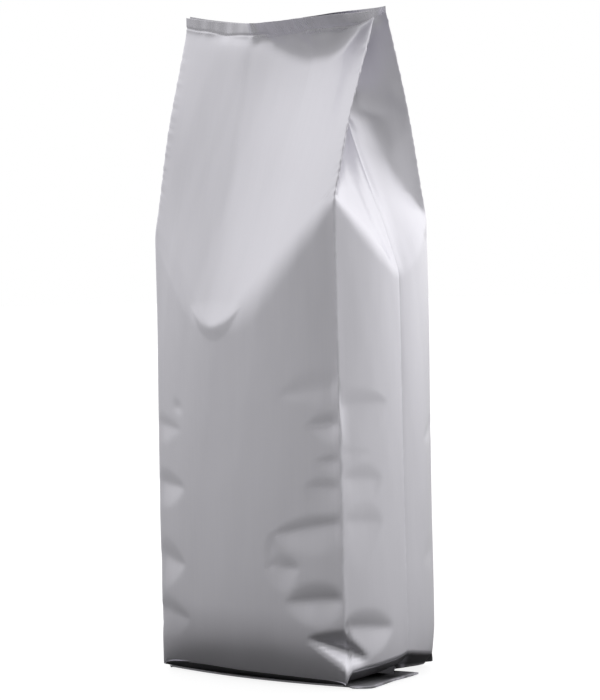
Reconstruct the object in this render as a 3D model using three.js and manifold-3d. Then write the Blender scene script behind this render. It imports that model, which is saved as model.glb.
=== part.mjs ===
// A filled side-gusset foil bag, sealed flat along the top and standing on its folded bottom.
// One closed solid in millimetres: +Z up, the front panel towards -Y, the origin on the floor
// under the middle of the bag. The film is a flat sheet that is folded into a tube: its columns
// run up the bag and its rows run round it.
import * as THREE from "three";
import { mergeVertices } from "three/addons/utils/BufferGeometryUtils.js";
import Module from "manifold-3d";

// The bag as it is bought, lying flat
const PANEL_WIDTH = 120;
const GUSSET_HALF = 40;
const SEAL_HEIGHT = { whole: 7.2, rightEnd: 3, taper: 18 };
const FILM_PLATE = 0.45;

// The bag filled and standing
const BODY_WIDTH = 114;
const BODY_DEPTH = 82;
const FRONT_BULGE = 10;
const BACK_BULGE = 9;
const CREASE_OUT = 8.5;
const GUSSET_BULGE = 3.2;
const CREASE_BACK = 1.8;
const FOOT_SPREAD = { sides: 1.5, back: -2.2 };

// The top edge dips between its two ends. It leans forward a little, most at its left end
const TOP_LOW = { x: 5, z: 334 };
const TOP_RISE = { left: 6.7, right: 3.7 };
const TOP_FORWARD = { all: 1.5, left: 5 };
const SEAL_MOUTH = { left: 1.5, right: 5.5, slope: 0.25 };

// Where the sloping head meets the filled body
const SHOULDER = { frontLeft: 228, frontRight: 243, backRight: 234, backLeft: 236 };
const FRONT_TIP = { across: 0.385, z: 179.5, round: 0.3 };
const BACK_TIP = { across: 0.55, z: 186, round: 0.3 };
const GUSSET_TIP = { right: 203, left: 206 };
const GUSSET_TUCK = { x: 42, z: 268, roundEdge: 2, roundDeep: 14 };
const SHOULDER_ROUND = { arm: 13, tip: 3, edge: 3, gusset: 5, tipReach: 0.12 };
const HEAD_PUFF = 2.2;
const HEAD_DISH = 1.5;

// The top leans forward at the seal and back into a hollow below it. The lean fades at the left and
// right, and the hollow sinks across its own left and climbs to the seal again across its right.
const SEAL_LEAN = { left: [-34, -10], right: [52, 64], forward: 0.85, back: 0.2 };
const HOLLOW = { left: [-14, 30], right: [27, 64], climb: 0.8, drop: 8, sag: 10, under: 60, soft: 0.2 };

// The bottom bends under. Across a gusset it is drawn up, as pairs of a share of its width and a
// height, and its bend is a crisp slope, as pairs of a share and a radius.
const FOOT_LIFT = { frontLeft: 1.6, frontRight: 0.8, backRight: 1.2, backLeft: 1.6 };
const FOOT_DRAWN = [[0, 0], [0.03, 1.8], [0.47, 5.6], [0.56, 3.4], [0.97, 0.6], [1, 0]];
const FOOT_ROUND = { corner: 1.2, middle: 6, inside: 0.03, swell: 0.8 };
const FOOT_ROUND_GUSSET = [[0, 5.5], [0.45, 5.5], [0.55, 7.5], [1, 4]];
const FOOT_FLAT = { front: 0.9, back: 0.7, change: [0.4, 0.6] };
const UNDERSIDE_Z = 0.6;
const UNDERSIDE_INSET = 24;

// A flap of doubled film lies on the floor below the bag, with rounded front corners that end at
// the given depths. A corner of each gusset stands on it, with its outline as depths and heights.
const FLAP = { thick: 1.2, front: 38, bow: 6, back: 9, frontLeft: 56, frontRight: 60, end: 68 };
const FLAP_CORNER = { left: -14.5, right: -31 };
const TUCK = { x: 58, thick: 0.8, outline: [[-21, 5.8], [-0.5, 8.4], [4.4, 6.7], [1.8, 0.6]] };

// The front right corner is knocked in along a crease, with a facet below it and one above it.
const NOTCH = {
  left: [36.5, -47.5, 25.5],
  right: [62.3, -29, 14.6],
  low: [59.5, -43, 6.5],
  high: [58, -41, 30],
  soft: 1.2,
};

// The mesh of the film
const COLUMN_WIDTH = 5;
const HEAD_ROWS = 20;
const BODY_ROWS = 40;
const BEND_ROWS = 4;
const UNDER_ROWS = 3;
const FLAT_ROWS = 5;
const ROW_SPREAD = 1.15;
const SAME_PLACE = 0.001;

// Buckles pressed into the film, each from one place to another, given by the distance round the
// bag from the front right edge, the front being negative, and the height. They have the widths of
// their upper and lower slopes and a depth. A buckle narrows to both ends where grows is 0, and only
// to its first end where grows is 1.
const BUCKLES = [
  { from: [-15, 151.5], to: [-0.5, 152], over: 6, under: 12, deep: 0.7, grows: 1 },
  { from: [-15, 130.5], to: [-0.5, 132], over: 9, under: 12, deep: 1, grows: 0.7 },
  { from: [-16, 100], to: [-1, 100.3], over: 8, under: 15, deep: 0.55, grows: 0.3 },
  { from: [-38, 76], to: [-0.5, 83], over: 8, under: 15, deep: 1.2, grows: 0.6 },
  { from: [-43, 59.5], to: [-24, 60], over: 8, under: 12, deep: 0.8, grows: 0.2 },
  { from: [-31, 42], to: [-0.5, 44.8], over: 11, under: 13, deep: 1.6, grows: 0.35 },
  { from: [26, 141.5], to: [1, 140.5], over: 11, under: 30, deep: 0.9, grows: 0.9 },
  { from: [21, 103], to: [2, 105], over: 8, under: 24, deep: 0.45, grows: 0.3 },
  { from: [20, 81], to: [2, 84], over: 12, under: 30, deep: 0.5, grows: 0.2 },
  { from: [27, 28], to: [0.5, 31], over: 10.5, under: 16, deep: 1.5, grows: 0.5 },
  { from: [69, 226], to: [79.5, 220], over: 6, under: 5, deep: 0.6, grows: 1 },
  { from: [42, 282], to: [76, 290], over: 18, under: 10, deep: -2, grows: 0.2 },
  { from: [58, 58], to: [76, 63], over: 10, under: 12, deep: 0.4, grows: 0.5 },
  { from: [-96, 96], to: [-119.5, 99], over: 8, under: 15, deep: 0.45, grows: 0.8 },
  { from: [-99, 57], to: [-119.5, 61], over: 11, under: 19, deep: 0.6, grows: 0.8 },
  { from: [-96, 29], to: [-119.5, 33], over: 9, under: 16, deep: 0.55, grows: 0.8 },
  { from: [-105, 10], to: [-74, 7], over: 9, under: 7, deep: 1.6, grows: 0 },
  { from: [112, 140], to: [84, 142], over: 10, under: 9, deep: 1, grows: 0.6 },
  { from: [124, 64], to: [85, 69], over: 12, under: 10, deep: 1.3, grows: 0.5 },
  { from: [112, 22], to: [85, 26], over: 11, under: 10, deep: 1.8, grows: 0.2 },
  { from: [68, 2], to: [92, 2], over: 18, under: 4, deep: 1.8, grows: 0 },
  { from: [160, 52], to: [199.5, 46], over: 12, under: 10, deep: 1.3, grows: 0.6 },
  { from: [170, 124], to: [199.5, 130], over: 10, under: 9, deep: 0.9, grows: 0.8 },
  { from: [226, 92], to: [200.5, 94], over: 9, under: 8, deep: 0.8, grows: 0.8 },
  { from: [230, 34], to: [198, 28], over: 12, under: 10, deep: 1.4, grows: 0.2 },
];
const VALLEY_ROUND = 0.12;
const ROOF_CURVE = 1.5;
const FLOOR_CURVE = 1.2;
const BUCKLE_STOP = 1.5;
const BUCKLE_TAPER = { both: 0.75, one: 0.6 };
const EDGE_HOLD = { share: 0.75, reach: 3, from: 28, to: 42 };

const HALF_WIDTH = BODY_WIDTH / 2;
const HALF_DEPTH = BODY_DEPTH / 2;
const HALF_PANEL = PANEL_WIDTH / 2;
const GUSSET_WIDTH = 2 * GUSSET_HALF;
const FILM_ROUND = 2 * (PANEL_WIDTH + GUSSET_WIDTH);
const FOLD_X = HALF_PANEL - GUSSET_HALF;
const { lerp, clamp, smoothstep } = THREE.MathUtils;

// Small shaping functions
const arch = (s) => 4 * s * (1 - s);
const tent = (s) => 1 - Math.abs(2 * s - 1);
const above = (value) => Math.max(0, value);

// The value at a share, on straight lines between pairs of a share and a value
function along(share, pairs) {
  const next = Math.max(1, pairs.findIndex(([at]) => at >= share));
  const [[start, first], [end, last]] = [pairs[next - 1], pairs[next]];
  return lerp(first, last, (share - start) / (end - start));
}

// A ramp from 0 that starts as a soft curve of the given half width
function softRamp(w, half) {
  if (w < -half) return 0;
  if (w > half) return w;
  return (w + half) ** 2 / (4 * half);
}

// The front panel starts the tube at its left edge, then come the right gusset, the back panel
// and the left gusset. Calls the panel's own function with the share of the way across it.
function onPanel(round, panels) {
  const u = ((round % FILM_ROUND) + FILM_ROUND) % FILM_ROUND;
  if (u <= PANEL_WIDTH) return panels.front(u / PANEL_WIDTH);
  if (u < PANEL_WIDTH + GUSSET_WIDTH) return panels.right((u - PANEL_WIDTH) / GUSSET_WIDTH);
  const past = u - PANEL_WIDTH - GUSSET_WIDTH;
  if (past <= PANEL_WIDTH) return panels.back(past / PANEL_WIDTH);
  return panels.left((past - PANEL_WIDTH) / GUSSET_WIDTH);
}

// The crease runs up the middle of each gusset, a little behind the middle of the bag.
const creaseDepth = (s) => lerp(-HALF_DEPTH, HALF_DEPTH, s) + CREASE_BACK * tent(s);

const gussetOut = (s) => CREASE_OUT * tent(s) + GUSSET_BULGE * arch(tent(s));

// The filled body in plan: bulging panels, and gussets pushed out along their creases.
function bodyPlan(round) {
  return onPanel(round, {
    front: (s) => [lerp(-HALF_WIDTH, HALF_WIDTH, s), -HALF_DEPTH - FRONT_BULGE * arch(s)],
    right: (s) => [HALF_WIDTH + gussetOut(s), creaseDepth(s)],
    back: (s) => [lerp(HALF_WIDTH, -HALF_WIDTH, s), HALF_DEPTH + BACK_BULGE * arch(s)],
    left: (s) => [-HALF_WIDTH - gussetOut(s), creaseDepth(1 - s)],
  });
}

// How high a panel's lower edge of the head is: it drops from both edges to a rounded tip.
function vee(s, left, right, tip) {
  const before = s < tip.across;
  const away = before ? 1 - s / tip.across : (s - tip.across) / (1 - tip.across);
  const climb = (Math.hypot(away, tip.round) - tip.round) / (Math.hypot(1, tip.round) - tip.round);
  return lerp(tip.z, before ? left : right, climb);
}

// The loop where the head meets the body: a V on both panels, and a peak down each gusset.
function shoulder(round) {
  const [x, y] = bodyPlan(round);
  const z = onPanel(round, {
    front: (s) => vee(s, SHOULDER.frontLeft, SHOULDER.frontRight, FRONT_TIP),
    right: (s) => lerp(lerp(SHOULDER.frontRight, SHOULDER.backRight, s), GUSSET_TIP.right, tent(s)),
    back: (s) => vee(s, SHOULDER.backRight, SHOULDER.backLeft, BACK_TIP),
    left: (s) => lerp(lerp(SHOULDER.backLeft, SHOULDER.frontLeft, s), GUSSET_TIP.left, tent(s)),
  });
  return new THREE.Vector3(x, y, z);
}

// Half of the gap between the two doubled ends of the seal, which stay open like a mouth.
function sealGap(x) {
  const open = x > 0 ? SEAL_MOUTH.right : SEAL_MOUTH.left;
  return open * above((Math.abs(x) - FOLD_X) / GUSSET_HALF);
}

// The sealed strip in plan: both panels flat together, the gussets folded in between them.
function sealPlan(round) {
  const plate = (x) => sealGap(x) + FILM_PLATE * Math.min(1, (HALF_PANEL - Math.abs(x)) / COLUMN_WIDTH);
  const folded = (s) => HALF_PANEL - GUSSET_HALF * tent(s);
  const [x, apart] = onPanel(round, {
    front: (s) => [lerp(-HALF_PANEL, HALF_PANEL, s), -plate(lerp(-HALF_PANEL, HALF_PANEL, s))],
    right: (s) => [folded(s), Math.sign(s - 0.5) * sealGap(folded(s))],
    back: (s) => [lerp(HALF_PANEL, -HALF_PANEL, s), plate(lerp(HALF_PANEL, -HALF_PANEL, s))],
    left: (s) => [-folded(s), Math.sign(0.5 - s) * sealGap(-folded(s))],
  });
  const forward = TOP_FORWARD.all + TOP_FORWARD.left * ((HALF_PANEL - x) / PANEL_WIDTH) ** 2;
  return { x, apart, y: apart - forward };
}

// Height of the top edge, which rises from its lowest place to both ends.
function topHeight(x) {
  const share = (x - TOP_LOW.x) / (HALF_PANEL + Math.sign(TOP_LOW.x - x) * TOP_LOW.x);
  return TOP_LOW.z + (x < TOP_LOW.x ? TOP_RISE.left : TOP_RISE.right) * share * share;
}

function topEdge(round) {
  const { x, y, apart } = sealPlan(round);
  return new THREE.Vector3(x, y, topHeight(x) + SEAL_MOUTH.slope * apart);
}

function sealFoot(round) {
  const point = topEdge(round);
  const { whole, rightEnd, taper } = SEAL_HEIGHT;
  point.z -= lerp(rightEnd, whole, clamp((HALF_PANEL - point.x) / taper, 0, 1));
  return point;
}

// Bends all layers of the film together, at the seal and at the hollow under it.
function pressed(point) {
  const { left, right, climb, drop, sag, under, soft } = HOLLOW;
  const fallen = topHeight(point.x) - point.z;
  const climbed = climb * clamp((point.x - right[0]) / (right[1] - right[0]), 0, 1);
  const lowest = (drop + sag * smoothstep(point.x, ...left)) * (1 - climbed);
  const inwards = 1 - softRamp(1 - fallen / lowest, soft);
  const past = clamp((fallen - lowest) / under, 0, 1);
  const lean = lerp(-SEAL_LEAN.forward, SEAL_LEAN.back, inwards) * Math.cos((past * Math.PI) / 2) ** 2;
  const bent = smoothstep(point.x, ...SEAL_LEAN.left) * (1 - smoothstep(point.x, ...SEAL_LEAN.right));
  point.y += bent * lowest * lean;
  return point;
}

// How far the bottom bend is off the floor: little at the corners, more under the gussets.
function footLift(round) {
  const { frontLeft, frontRight, backRight, backLeft } = FOOT_LIFT;
  return onPanel(round, {
    front: (s) => lerp(frontLeft, frontRight, s) * (1 - arch(s)),
    right: (s) => lerp(frontRight, backRight, s) + along(s, FOOT_DRAWN),
    back: (s) => lerp(backRight, backLeft, s) * (1 - arch(s)),
    left: (s) => lerp(backLeft, frontLeft, s) + along(1 - s, FOOT_DRAWN),
  });
}

// The radius of the bottom bend: crisp at the corners and under the gussets, soft along the panels
function footRound(round) {
  const { corner, middle, inside, swell } = FOOT_ROUND;
  const panel = (s) => lerp(corner, middle, arch(s) ** swell);
  const gusset = (s) => lerp(corner, along(s, FOOT_ROUND_GUSSET), Math.min(1, s / inside, (1 - s) / inside));
  return onPanel(round, { front: panel, right: gusset, back: panel, left: (s) => gusset(1 - s) });
}

// How flat the bottom bend is: a slope under the gussets, most of all under their front halves
function footFlat(round) {
  const panel = () => 0;
  const gusset = (s) => lerp(FOOT_FLAT.front, FOOT_FLAT.back, smoothstep(s, ...FOOT_FLAT.change));
  return onPanel(round, { front: panel, right: gusset, back: panel, left: (s) => gusset(1 - s) });
}

// The lowest loop of the upright walls, just above the bend into the underside.
function foot(round) {
  const [x, y] = bodyPlan(round);
  const wide = 1 + FOOT_SPREAD.sides / HALF_WIDTH;
  const deep = 1 + (y > 0 ? FOOT_SPREAD.back / HALF_DEPTH : 0);
  return new THREE.Vector3(x * wide, y * deep, UNDERSIDE_Z + footLift(round) + footRound(round));
}

// How softly the film bends at the shoulder: crisp at the edges and tips, soft between them.
function shoulderRound(round) {
  const { arm, tip, edge, gusset: knee, tipReach } = SHOULDER_ROUND;
  const panel = (s, at) => {
    const nearTip = Math.exp(-(((s - at) / tipReach) ** 2));
    return lerp(lerp(edge, arm, Math.sqrt(arch(s))), tip, nearTip);
  };
  const gusset = (s) => lerp(edge, tip, tent(s)) + knee * arch(tent(s));
  return onPanel(round, {
    front: (s) => panel(s, FRONT_TIP.across),
    right: gusset,
    back: (s) => panel(s, BACK_TIP.across),
    left: gusset,
  });
}

// How softly the film bends at the tuck creases: crisp at the edges, soft deep inside.
function tuckRound(round) {
  const panel = () => GUSSET_TUCK.roundEdge;
  const gusset = (s) => lerp(GUSSET_TUCK.roundEdge, GUSSET_TUCK.roundDeep, tent(s));
  return onPanel(round, { front: panel, right: gusset, back: panel, left: gusset });
}

// Above the shoulder each gusset is tucked in along two creases, from its two shoulder corners to
// a point deep between the panels. Elsewhere the film runs straight on, and this is the shoulder.
function tuckCrease(round) {
  const crease = (s, side, from, to) => {
    const corner = new THREE.Vector3(side * HALF_WIDTH, s < 0.5 ? from.y : to.y, s < 0.5 ? from.z : to.z);
    return corner.lerp(new THREE.Vector3(side * GUSSET_TUCK.x, 0, GUSSET_TUCK.z), tent(s));
  };
  const corner = (side, z) => ({ y: side * HALF_DEPTH, z });
  const { frontLeft, frontRight, backRight, backLeft } = SHOULDER;
  return onPanel(round, {
    front: () => shoulder(round),
    right: (s) => crease(s, 1, corner(-1, frontRight), corner(1, backRight)),
    back: () => shoulder(round),
    left: (s) => crease(s, -1, corner(1, backLeft), corner(-1, frontLeft)),
  });
}

// The film's way up from the shoulder: its first direction, its second, and where it changes.
function headPath(round) {
  const knee = shoulder(round);
  const crease = tuckCrease(round);
  const top = sealFoot(round);
  const tucked = crease.distanceTo(knee);
  const second = top.clone().sub(crease).normalize();
  const first = tucked > SAME_PLACE ? crease.clone().sub(knee).normalize() : second;
  return { first, second, tucked, length: tucked + top.distanceTo(crease) };
}

// The head is puffed out a little at its edges between the seal and the shoulder, and dished
// between them.
function headPuff(round, share) {
  const side = onPanel(round, {
    front: (s) => HEAD_DISH * arch(s) - 1,
    right: (s) => 2 * s - 1,
    back: (s) => 1 - HEAD_DISH * arch(s),
    left: (s) => 1 - 2 * s,
  });
  return side * HEAD_PUFF * Math.sin(Math.PI * clamp(share, 0, 1)) ** 2;
}

// A point of the upright film, w millimetres below the shoulder loop, or above it where w < 0.
function wallPoint(round, w) {
  const knee = shoulder(round);
  const { first, second, tucked, length } = headPath(round);
  const down = foot(round).sub(knee).normalize();
  const half = shoulderRound(round);
  const past = softRamp(-w - tucked, tuckRound(round));
  const point = knee
    .addScaledVector(down, softRamp(w, half))
    .addScaledVector(first, softRamp(-w, half) - past)
    .addScaledVector(second, past);
  point.y += headPuff(round, -w / length);
  return point;
}

// Depth of all buckles at a place on the film: each is a valley that narrows to its ends and fades
// to its rims.
function buckleDepth(round, z) {
  let depth = 0;
  for (const { from, to, over, under, deep, grows } of BUCKLES) {
    const way = new THREE.Vector2(to[0] - from[0], to[1] - from[1]);
    const reach = way.length();
    way.divideScalar(reach);
    const wrapped = round - PANEL_WIDTH - from[0];
    const across = wrapped - FILM_ROUND * Math.round(wrapped / FILM_ROUND);
    const rise = z - from[1];
    const run = (across * way.x + rise * way.y) / reach;
    const beside = (rise * way.x - across * way.y) * Math.sign(way.x);
    const inside = clamp(run, 0, 1);
    const stop = clamp(1 - ((run - 1) * reach) / BUCKLE_STOP, 0, 1);
    const taper = lerp(arch(inside) ** BUCKLE_TAPER.both, inside ** BUCKLE_TAPER.one * stop, grows);
    if (taper === 0) continue;
    const away = Math.abs(beside) / ((beside > 0 ? over : under) * taper);
    const fade = above(1 - Math.hypot(away, VALLEY_ROUND) + VALLEY_ROUND);
    depth += deep * taper * fade ** (beside > 0 ? ROOF_CURVE : FLOOR_CURVE);
  }
  return depth;
}

// How much of a buckle's depth shows: less on a stiff upright edge, but all of it low down.
function held(round, z) {
  const { share, reach, from, to } = EDGE_HOLD;
  const fromEdge = (wide) => (s) => wide * Math.min(s, 1 - s);
  const panel = fromEdge(PANEL_WIDTH);
  const gusset = fromEdge(GUSSET_WIDTH);
  const off = onPanel(round, { front: panel, right: gusset, back: panel, left: gusset });
  return 1 - share * Math.exp(-((off / reach) ** 2)) * smoothstep(z, from, to);
}

// Moves what stands before the facets of the knocked-in corner back onto them.
function notched(point) {
  const [left, right, low, high] = [NOTCH.left, NOTCH.right, NOTCH.low, NOTCH.high].map(
    (place) => new THREE.Vector3(...place),
  );
  const crease = right.sub(left).normalize();
  const inwards = new THREE.Vector3(0, 0, 1).cross(crease).normalize();
  const reach = (outer) => {
    const facing = crease.clone().cross(outer.sub(left)).normalize();
    return left.clone().sub(point).dot(facing) / inwards.dot(facing);
  };
  const below = reach(low);
  const nearer = below - softRamp(below - reach(high), NOTCH.soft);
  return point.addScaledVector(inwards, above(nearer));
}

// The film's outward direction, from two short steps on the unbuckled surface.
function outward(round, w) {
  const step = 1;
  const across = wallPoint(round + step, w).sub(wallPoint(round - step, w));
  const down = wallPoint(round, w + step).sub(wallPoint(round, w - step));
  return down.cross(across).normalize();
}

function buckledWall(round, w) {
  const point = wallPoint(round, w);
  const depth = buckleDepth(round, point.z) * held(round, point.z);
  return notched(point.addScaledVector(outward(round, w), -depth));
}

// The bend from the wall (turn 0) to the underside (turn 1), and then the flat run inwards.
function bottomPoint(round, turn, inwards) {
  const edge = foot(round);
  const wall = buckledWall(round, edge.distanceTo(shoulder(round))).lerp(edge, turn);
  const angle = (turn * Math.PI) / 2;
  const bend = footRound(round);
  const flat = footFlat(round);
  const inset = bend * lerp(1 - Math.cos(angle), turn, flat) + UNDERSIDE_INSET * inwards;
  const reach = Math.hypot(wall.x, wall.y);
  const scale = (reach - inset) / reach;
  const low = UNDERSIDE_Z + footLift(round) * (1 - inwards) ** 2;
  const z = low + bend * lerp(1 - Math.sin(angle), 1 - turn, flat);
  return notched(new THREE.Vector3(wall.x * scale, wall.y * scale, z));
}

// One row of the film for each entry: a function from the place round the bag to a point.
function filmRows() {
  const rows = [topEdge, sealFoot];
  for (let i = 1; i <= HEAD_ROWS; i++) {
    const left = (1 - i / (HEAD_ROWS + 1)) ** ROW_SPREAD;
    rows.push((round) => buckledWall(round, -left * headPath(round).length));
  }
  for (let i = 0; i < BODY_ROWS; i++) {
    const share = (i / BODY_ROWS) ** ROW_SPREAD;
    rows.push((round) => buckledWall(round, share * foot(round).distanceTo(shoulder(round))));
  }
  for (let i = 0; i <= BEND_ROWS; i++) rows.push((round) => bottomPoint(round, i / BEND_ROWS, 0));
  for (let i = 1; i <= UNDER_ROWS; i++) rows.push((round) => bottomPoint(round, 1, i / UNDER_ROWS));
  return rows;
}

// Closes the top edge: each panel is zipped to the gusset layers behind it, and the two panels
// to each other between the folds.
function topCap(columns) {
  const panel = PANEL_WIDTH / COLUMN_WIDTH;
  const half = GUSSET_HALF / COLUMN_WIDTH;
  const right = panel + half;
  const back = panel + 2 * half;
  const left = back + panel + half;
  const faces = [];
  const zip = (front, frontStep, behind, behindStep, count) => {
    for (let k = 0; k < count; k++) {
      const a = (front + k * frontStep + columns) % columns;
      const b = (front + (k + 1) * frontStep + columns) % columns;
      const c = (behind + k * behindStep + columns) % columns;
      const d = (behind + (k + 1) * behindStep + columns) % columns;
      const flip = frontStep < 0;
      if (a !== c) faces.push(flip ? [a, c, b] : [a, b, c]);
      if (b !== d) faces.push(flip ? [b, c, d] : [b, d, c]);
    }
  };
  zip(0, 1, 0, -1, half);
  zip(half, 1, back + panel - half, -1, half);
  zip(panel, -1, panel, 1, half);
  zip(back, 1, back, -1, half);
  zip(back + panel, -1, back + panel, 1, half);
  faces.push([half, back + panel - half, left], [panel - half, right, back + half]);
  return faces;
}

// The triangles of the sheet. Each cell is split along the way its own crease runs, which rises up
// to the middle of a gusset and falls after it. Near the seal the layers lie flat together, and their
// cells are split alike.
function filmFaces(columns, rows) {
  const rising = () => true;
  const faces = [];
  for (let row = 0; row < rows; row++) {
    const gusset = (s) => row >= FLAT_ROWS && s < 0.5;
    for (let column = 0; column < columns; column++) {
      const a = row * (columns + 1) + column;
      const b = a + columns + 1;
      const place = (column + 0.5) * COLUMN_WIDTH;
      const rises = onPanel(place, { front: rising, right: gusset, back: rising, left: gusset });
      if (rises) faces.push(a, b, a + 1, b, b + 1, a + 1);
      else faces.push(a, b, b + 1, a, b + 1, a + 1);
    }
  }
  return faces;
}

// The folded film: a plane of rows and columns, bent into the tube and closed at both ends.
function filmGeometry() {
  const rows = filmRows();
  const columns = FILM_ROUND / COLUMN_WIDTH;
  const sheet = new THREE.PlaneGeometry(FILM_ROUND, 1, columns, rows.length - 1);
  const places = sheet.attributes.position;
  for (let i = 0; i < places.count; i++) {
    const row = rows[Math.floor(i / (columns + 1))];
    const point = pressed(row((i % (columns + 1)) * COLUMN_WIDTH));
    places.setXYZ(i, point.x, point.y, point.z);
  }
  const faces = filmFaces(columns, rows.length - 1);
  for (const [a, b, c] of topCap(columns)) faces.push(a, b, c);
  const lastRow = (rows.length - 1) * (columns + 1);
  const middle = places.count;
  for (let i = 0; i < columns; i++) faces.push(middle, lastRow + i + 1, lastRow + i);
  const film = new THREE.BufferGeometry();
  const points = new Float32Array([...places.array, 0, 0, UNDERSIDE_Z]);
  film.setAttribute("position", new THREE.BufferAttribute(points, 3));
  film.setIndex(faces);
  return film;
}

// The doubled flap under the bag: its front edge follows the front panel, and its ends reach out
// under the gussets.
function flapGeometry() {
  const { thick, front, bow, back, frontLeft, frontRight, end } = FLAP;
  const { left, right } = FLAP_CORNER;
  const outline = new THREE.Shape();
  outline.moveTo(-end, back);
  outline.lineTo(-end, left);
  outline.quadraticCurveTo(-end, (left - front) / 2, -frontLeft, -front);
  outline.quadraticCurveTo(0, -front - 2 * bow, frontRight, -front);
  outline.quadraticCurveTo(end, (right - front) / 2, end, right);
  outline.lineTo(end, back);
  return new THREE.ExtrudeGeometry(outline, { depth: thick, bevelEnabled: false, curveSegments: 12 });
}

// The corner of a gusset that shows between the flap and the underside, at one side of the bag.
function tuckGeometry(side) {
  const { x, thick, outline } = TUCK;
  const shape = new THREE.Shape(outline.map(([y, z]) => new THREE.Vector2(y, z)));
  const web = new THREE.ExtrudeGeometry(shape, { depth: thick, bevelEnabled: false });
  const upright = new THREE.Matrix4().makeBasis(
    new THREE.Vector3(0, 1, 0), new THREE.Vector3(0, 0, 1), new THREE.Vector3(1, 0, 0),
  );
  return web.applyMatrix4(upright).translate(side * x - thick / 2, 0, 0);
}

const wasm = await Module();
wasm.setup();

function solidFrom(geometry) {
  const bare = new THREE.BufferGeometry();
  bare.setAttribute("position", geometry.attributes.position);
  if (geometry.index) bare.setIndex(geometry.index);
  const merged = mergeVertices(bare, SAME_PLACE);
  const vertProperties = new Float32Array(merged.attributes.position.array);
  const triVerts = new Uint32Array(merged.index.array);
  return new wasm.Manifold(new wasm.Mesh({ numProp: 3, vertProperties, triVerts }));
}

function geometryFrom(solid) {
  const { vertProperties, triVerts } = solid.getMesh();
  const geometry = new THREE.BufferGeometry();
  geometry.setAttribute("position", new THREE.BufferAttribute(vertProperties, 3));
  geometry.setIndex(new THREE.BufferAttribute(triVerts, 1));
  return geometry;
}

// Film, flap and tucks are one piece of film, so they are one solid, set over the origin.
function bagGeometry() {
  const pieces = [flapGeometry(), tuckGeometry(1), tuckGeometry(-1)].map(solidFrom);
  const bag = geometryFrom(pieces.reduce((whole, piece) => whole.add(piece), solidFrom(filmGeometry())));
  bag.computeBoundingBox();
  const { min, max } = bag.boundingBox;
  bag.translate(-(min.x + max.x) / 2, -(min.y + max.y) / 2, -min.z);
  bag.computeVertexNormals();
  return bag;
}

const foil = new THREE.MeshStandardMaterial({ color: 0xc6c6ca, roughness: 0.38, metalness: 1 });
const foilBag = new THREE.Mesh(bagGeometry(), foil);
foilBag.name = "foil_bag";

const bag = new THREE.Group();
bag.add(foilBag);
export default bag;
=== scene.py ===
"""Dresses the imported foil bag: its folded film, the doubled flap and tucks under it, and a stage."""

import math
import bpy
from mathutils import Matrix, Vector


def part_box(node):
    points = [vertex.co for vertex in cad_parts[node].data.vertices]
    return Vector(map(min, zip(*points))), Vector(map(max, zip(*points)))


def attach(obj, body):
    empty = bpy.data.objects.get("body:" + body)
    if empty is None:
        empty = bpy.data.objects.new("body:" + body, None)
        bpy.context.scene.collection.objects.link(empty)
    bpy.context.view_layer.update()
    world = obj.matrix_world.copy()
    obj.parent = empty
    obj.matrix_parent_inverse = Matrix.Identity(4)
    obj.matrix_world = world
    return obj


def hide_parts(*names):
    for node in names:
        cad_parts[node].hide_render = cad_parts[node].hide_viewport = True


bl_info = {
    "name": "Foil Bag",
    "version": (1, 0, 0),
    "blender": (4, 5, 0),
    "location": "View3D > Sidebar > Foil Bag",
    "description": "Folds the film of a filled side-gusset foil bag over its packed solid",
    "category": "Add Mesh",
}

from typing import NamedTuple

import bmesh
import bpy
import numpy as np
from bpy.props import FloatProperty, FloatVectorProperty, PointerProperty
from bpy.types import Operator, Panel, PropertyGroup
from mathutils import Matrix, Vector

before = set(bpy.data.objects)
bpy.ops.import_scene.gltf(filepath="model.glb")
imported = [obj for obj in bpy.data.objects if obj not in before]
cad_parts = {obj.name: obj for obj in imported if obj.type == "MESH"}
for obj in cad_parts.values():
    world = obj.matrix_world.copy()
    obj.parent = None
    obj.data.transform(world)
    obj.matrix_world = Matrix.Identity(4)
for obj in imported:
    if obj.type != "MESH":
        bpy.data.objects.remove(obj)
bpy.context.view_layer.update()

NODE = "foil_bag"
BODY = "root"
MM = 0.001


class Corners(NamedTuple):
    """One value for each upright edge of the bag."""

    front_left: float
    front_right: float
    back_right: float
    back_left: float


class Tip(NamedTuple):
    """The lowest place of the head on a panel: where across it, how high and how round."""

    across: float
    z: float
    round: float


class Buckle(NamedTuple):
    """A crease pressed into the film, in millimetres.

    It runs from its start to its end, each given by the distance round the bag from the front right
    edge, the front being negative, and the height. It has the widths of its upper and lower slopes
    and a depth. It narrows to both ends where grows is 0, and only to its start where grows is 1.
    Its middle sags below the straight line.
    """

    start: tuple
    end: tuple
    over: float
    under: float
    deep: float
    grows: float
    sag: float = 0


class Notch(NamedTuple):
    """A corner knocked in along a crease from left to right, with a facet down to a low place and
    another up to a high one, each place in millimetres."""

    left: tuple
    right: tuple
    low: tuple
    high: tuple


class Pleat(NamedTuple):
    """A small ridge up the seal, in millimetres: where along it, how wide and how far out."""

    x: float
    wide: float
    deep: float


class Wave(NamedTuple):
    """A slight unevenness of the film: depth, number of waves round the bag or along the seal, phase,
    and length upwards where it has one."""

    deep: float
    count: int
    phase: float
    up: float = 0


class SoftLight(NamedTuple):
    """A broad light of the studio: the way to it and its brightness."""

    way: tuple
    level: float


class FoilLook(NamedTuple):
    """How strongly each pattern of the foil shows in its tone, its roughness and its bump."""

    tone: float
    streak_tone: float
    cloud_tone: float
    wear_tone: float
    rougher: float
    streak_rough: float
    cloud_rough: float
    wear_rough: float
    grain_bump: float


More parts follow.
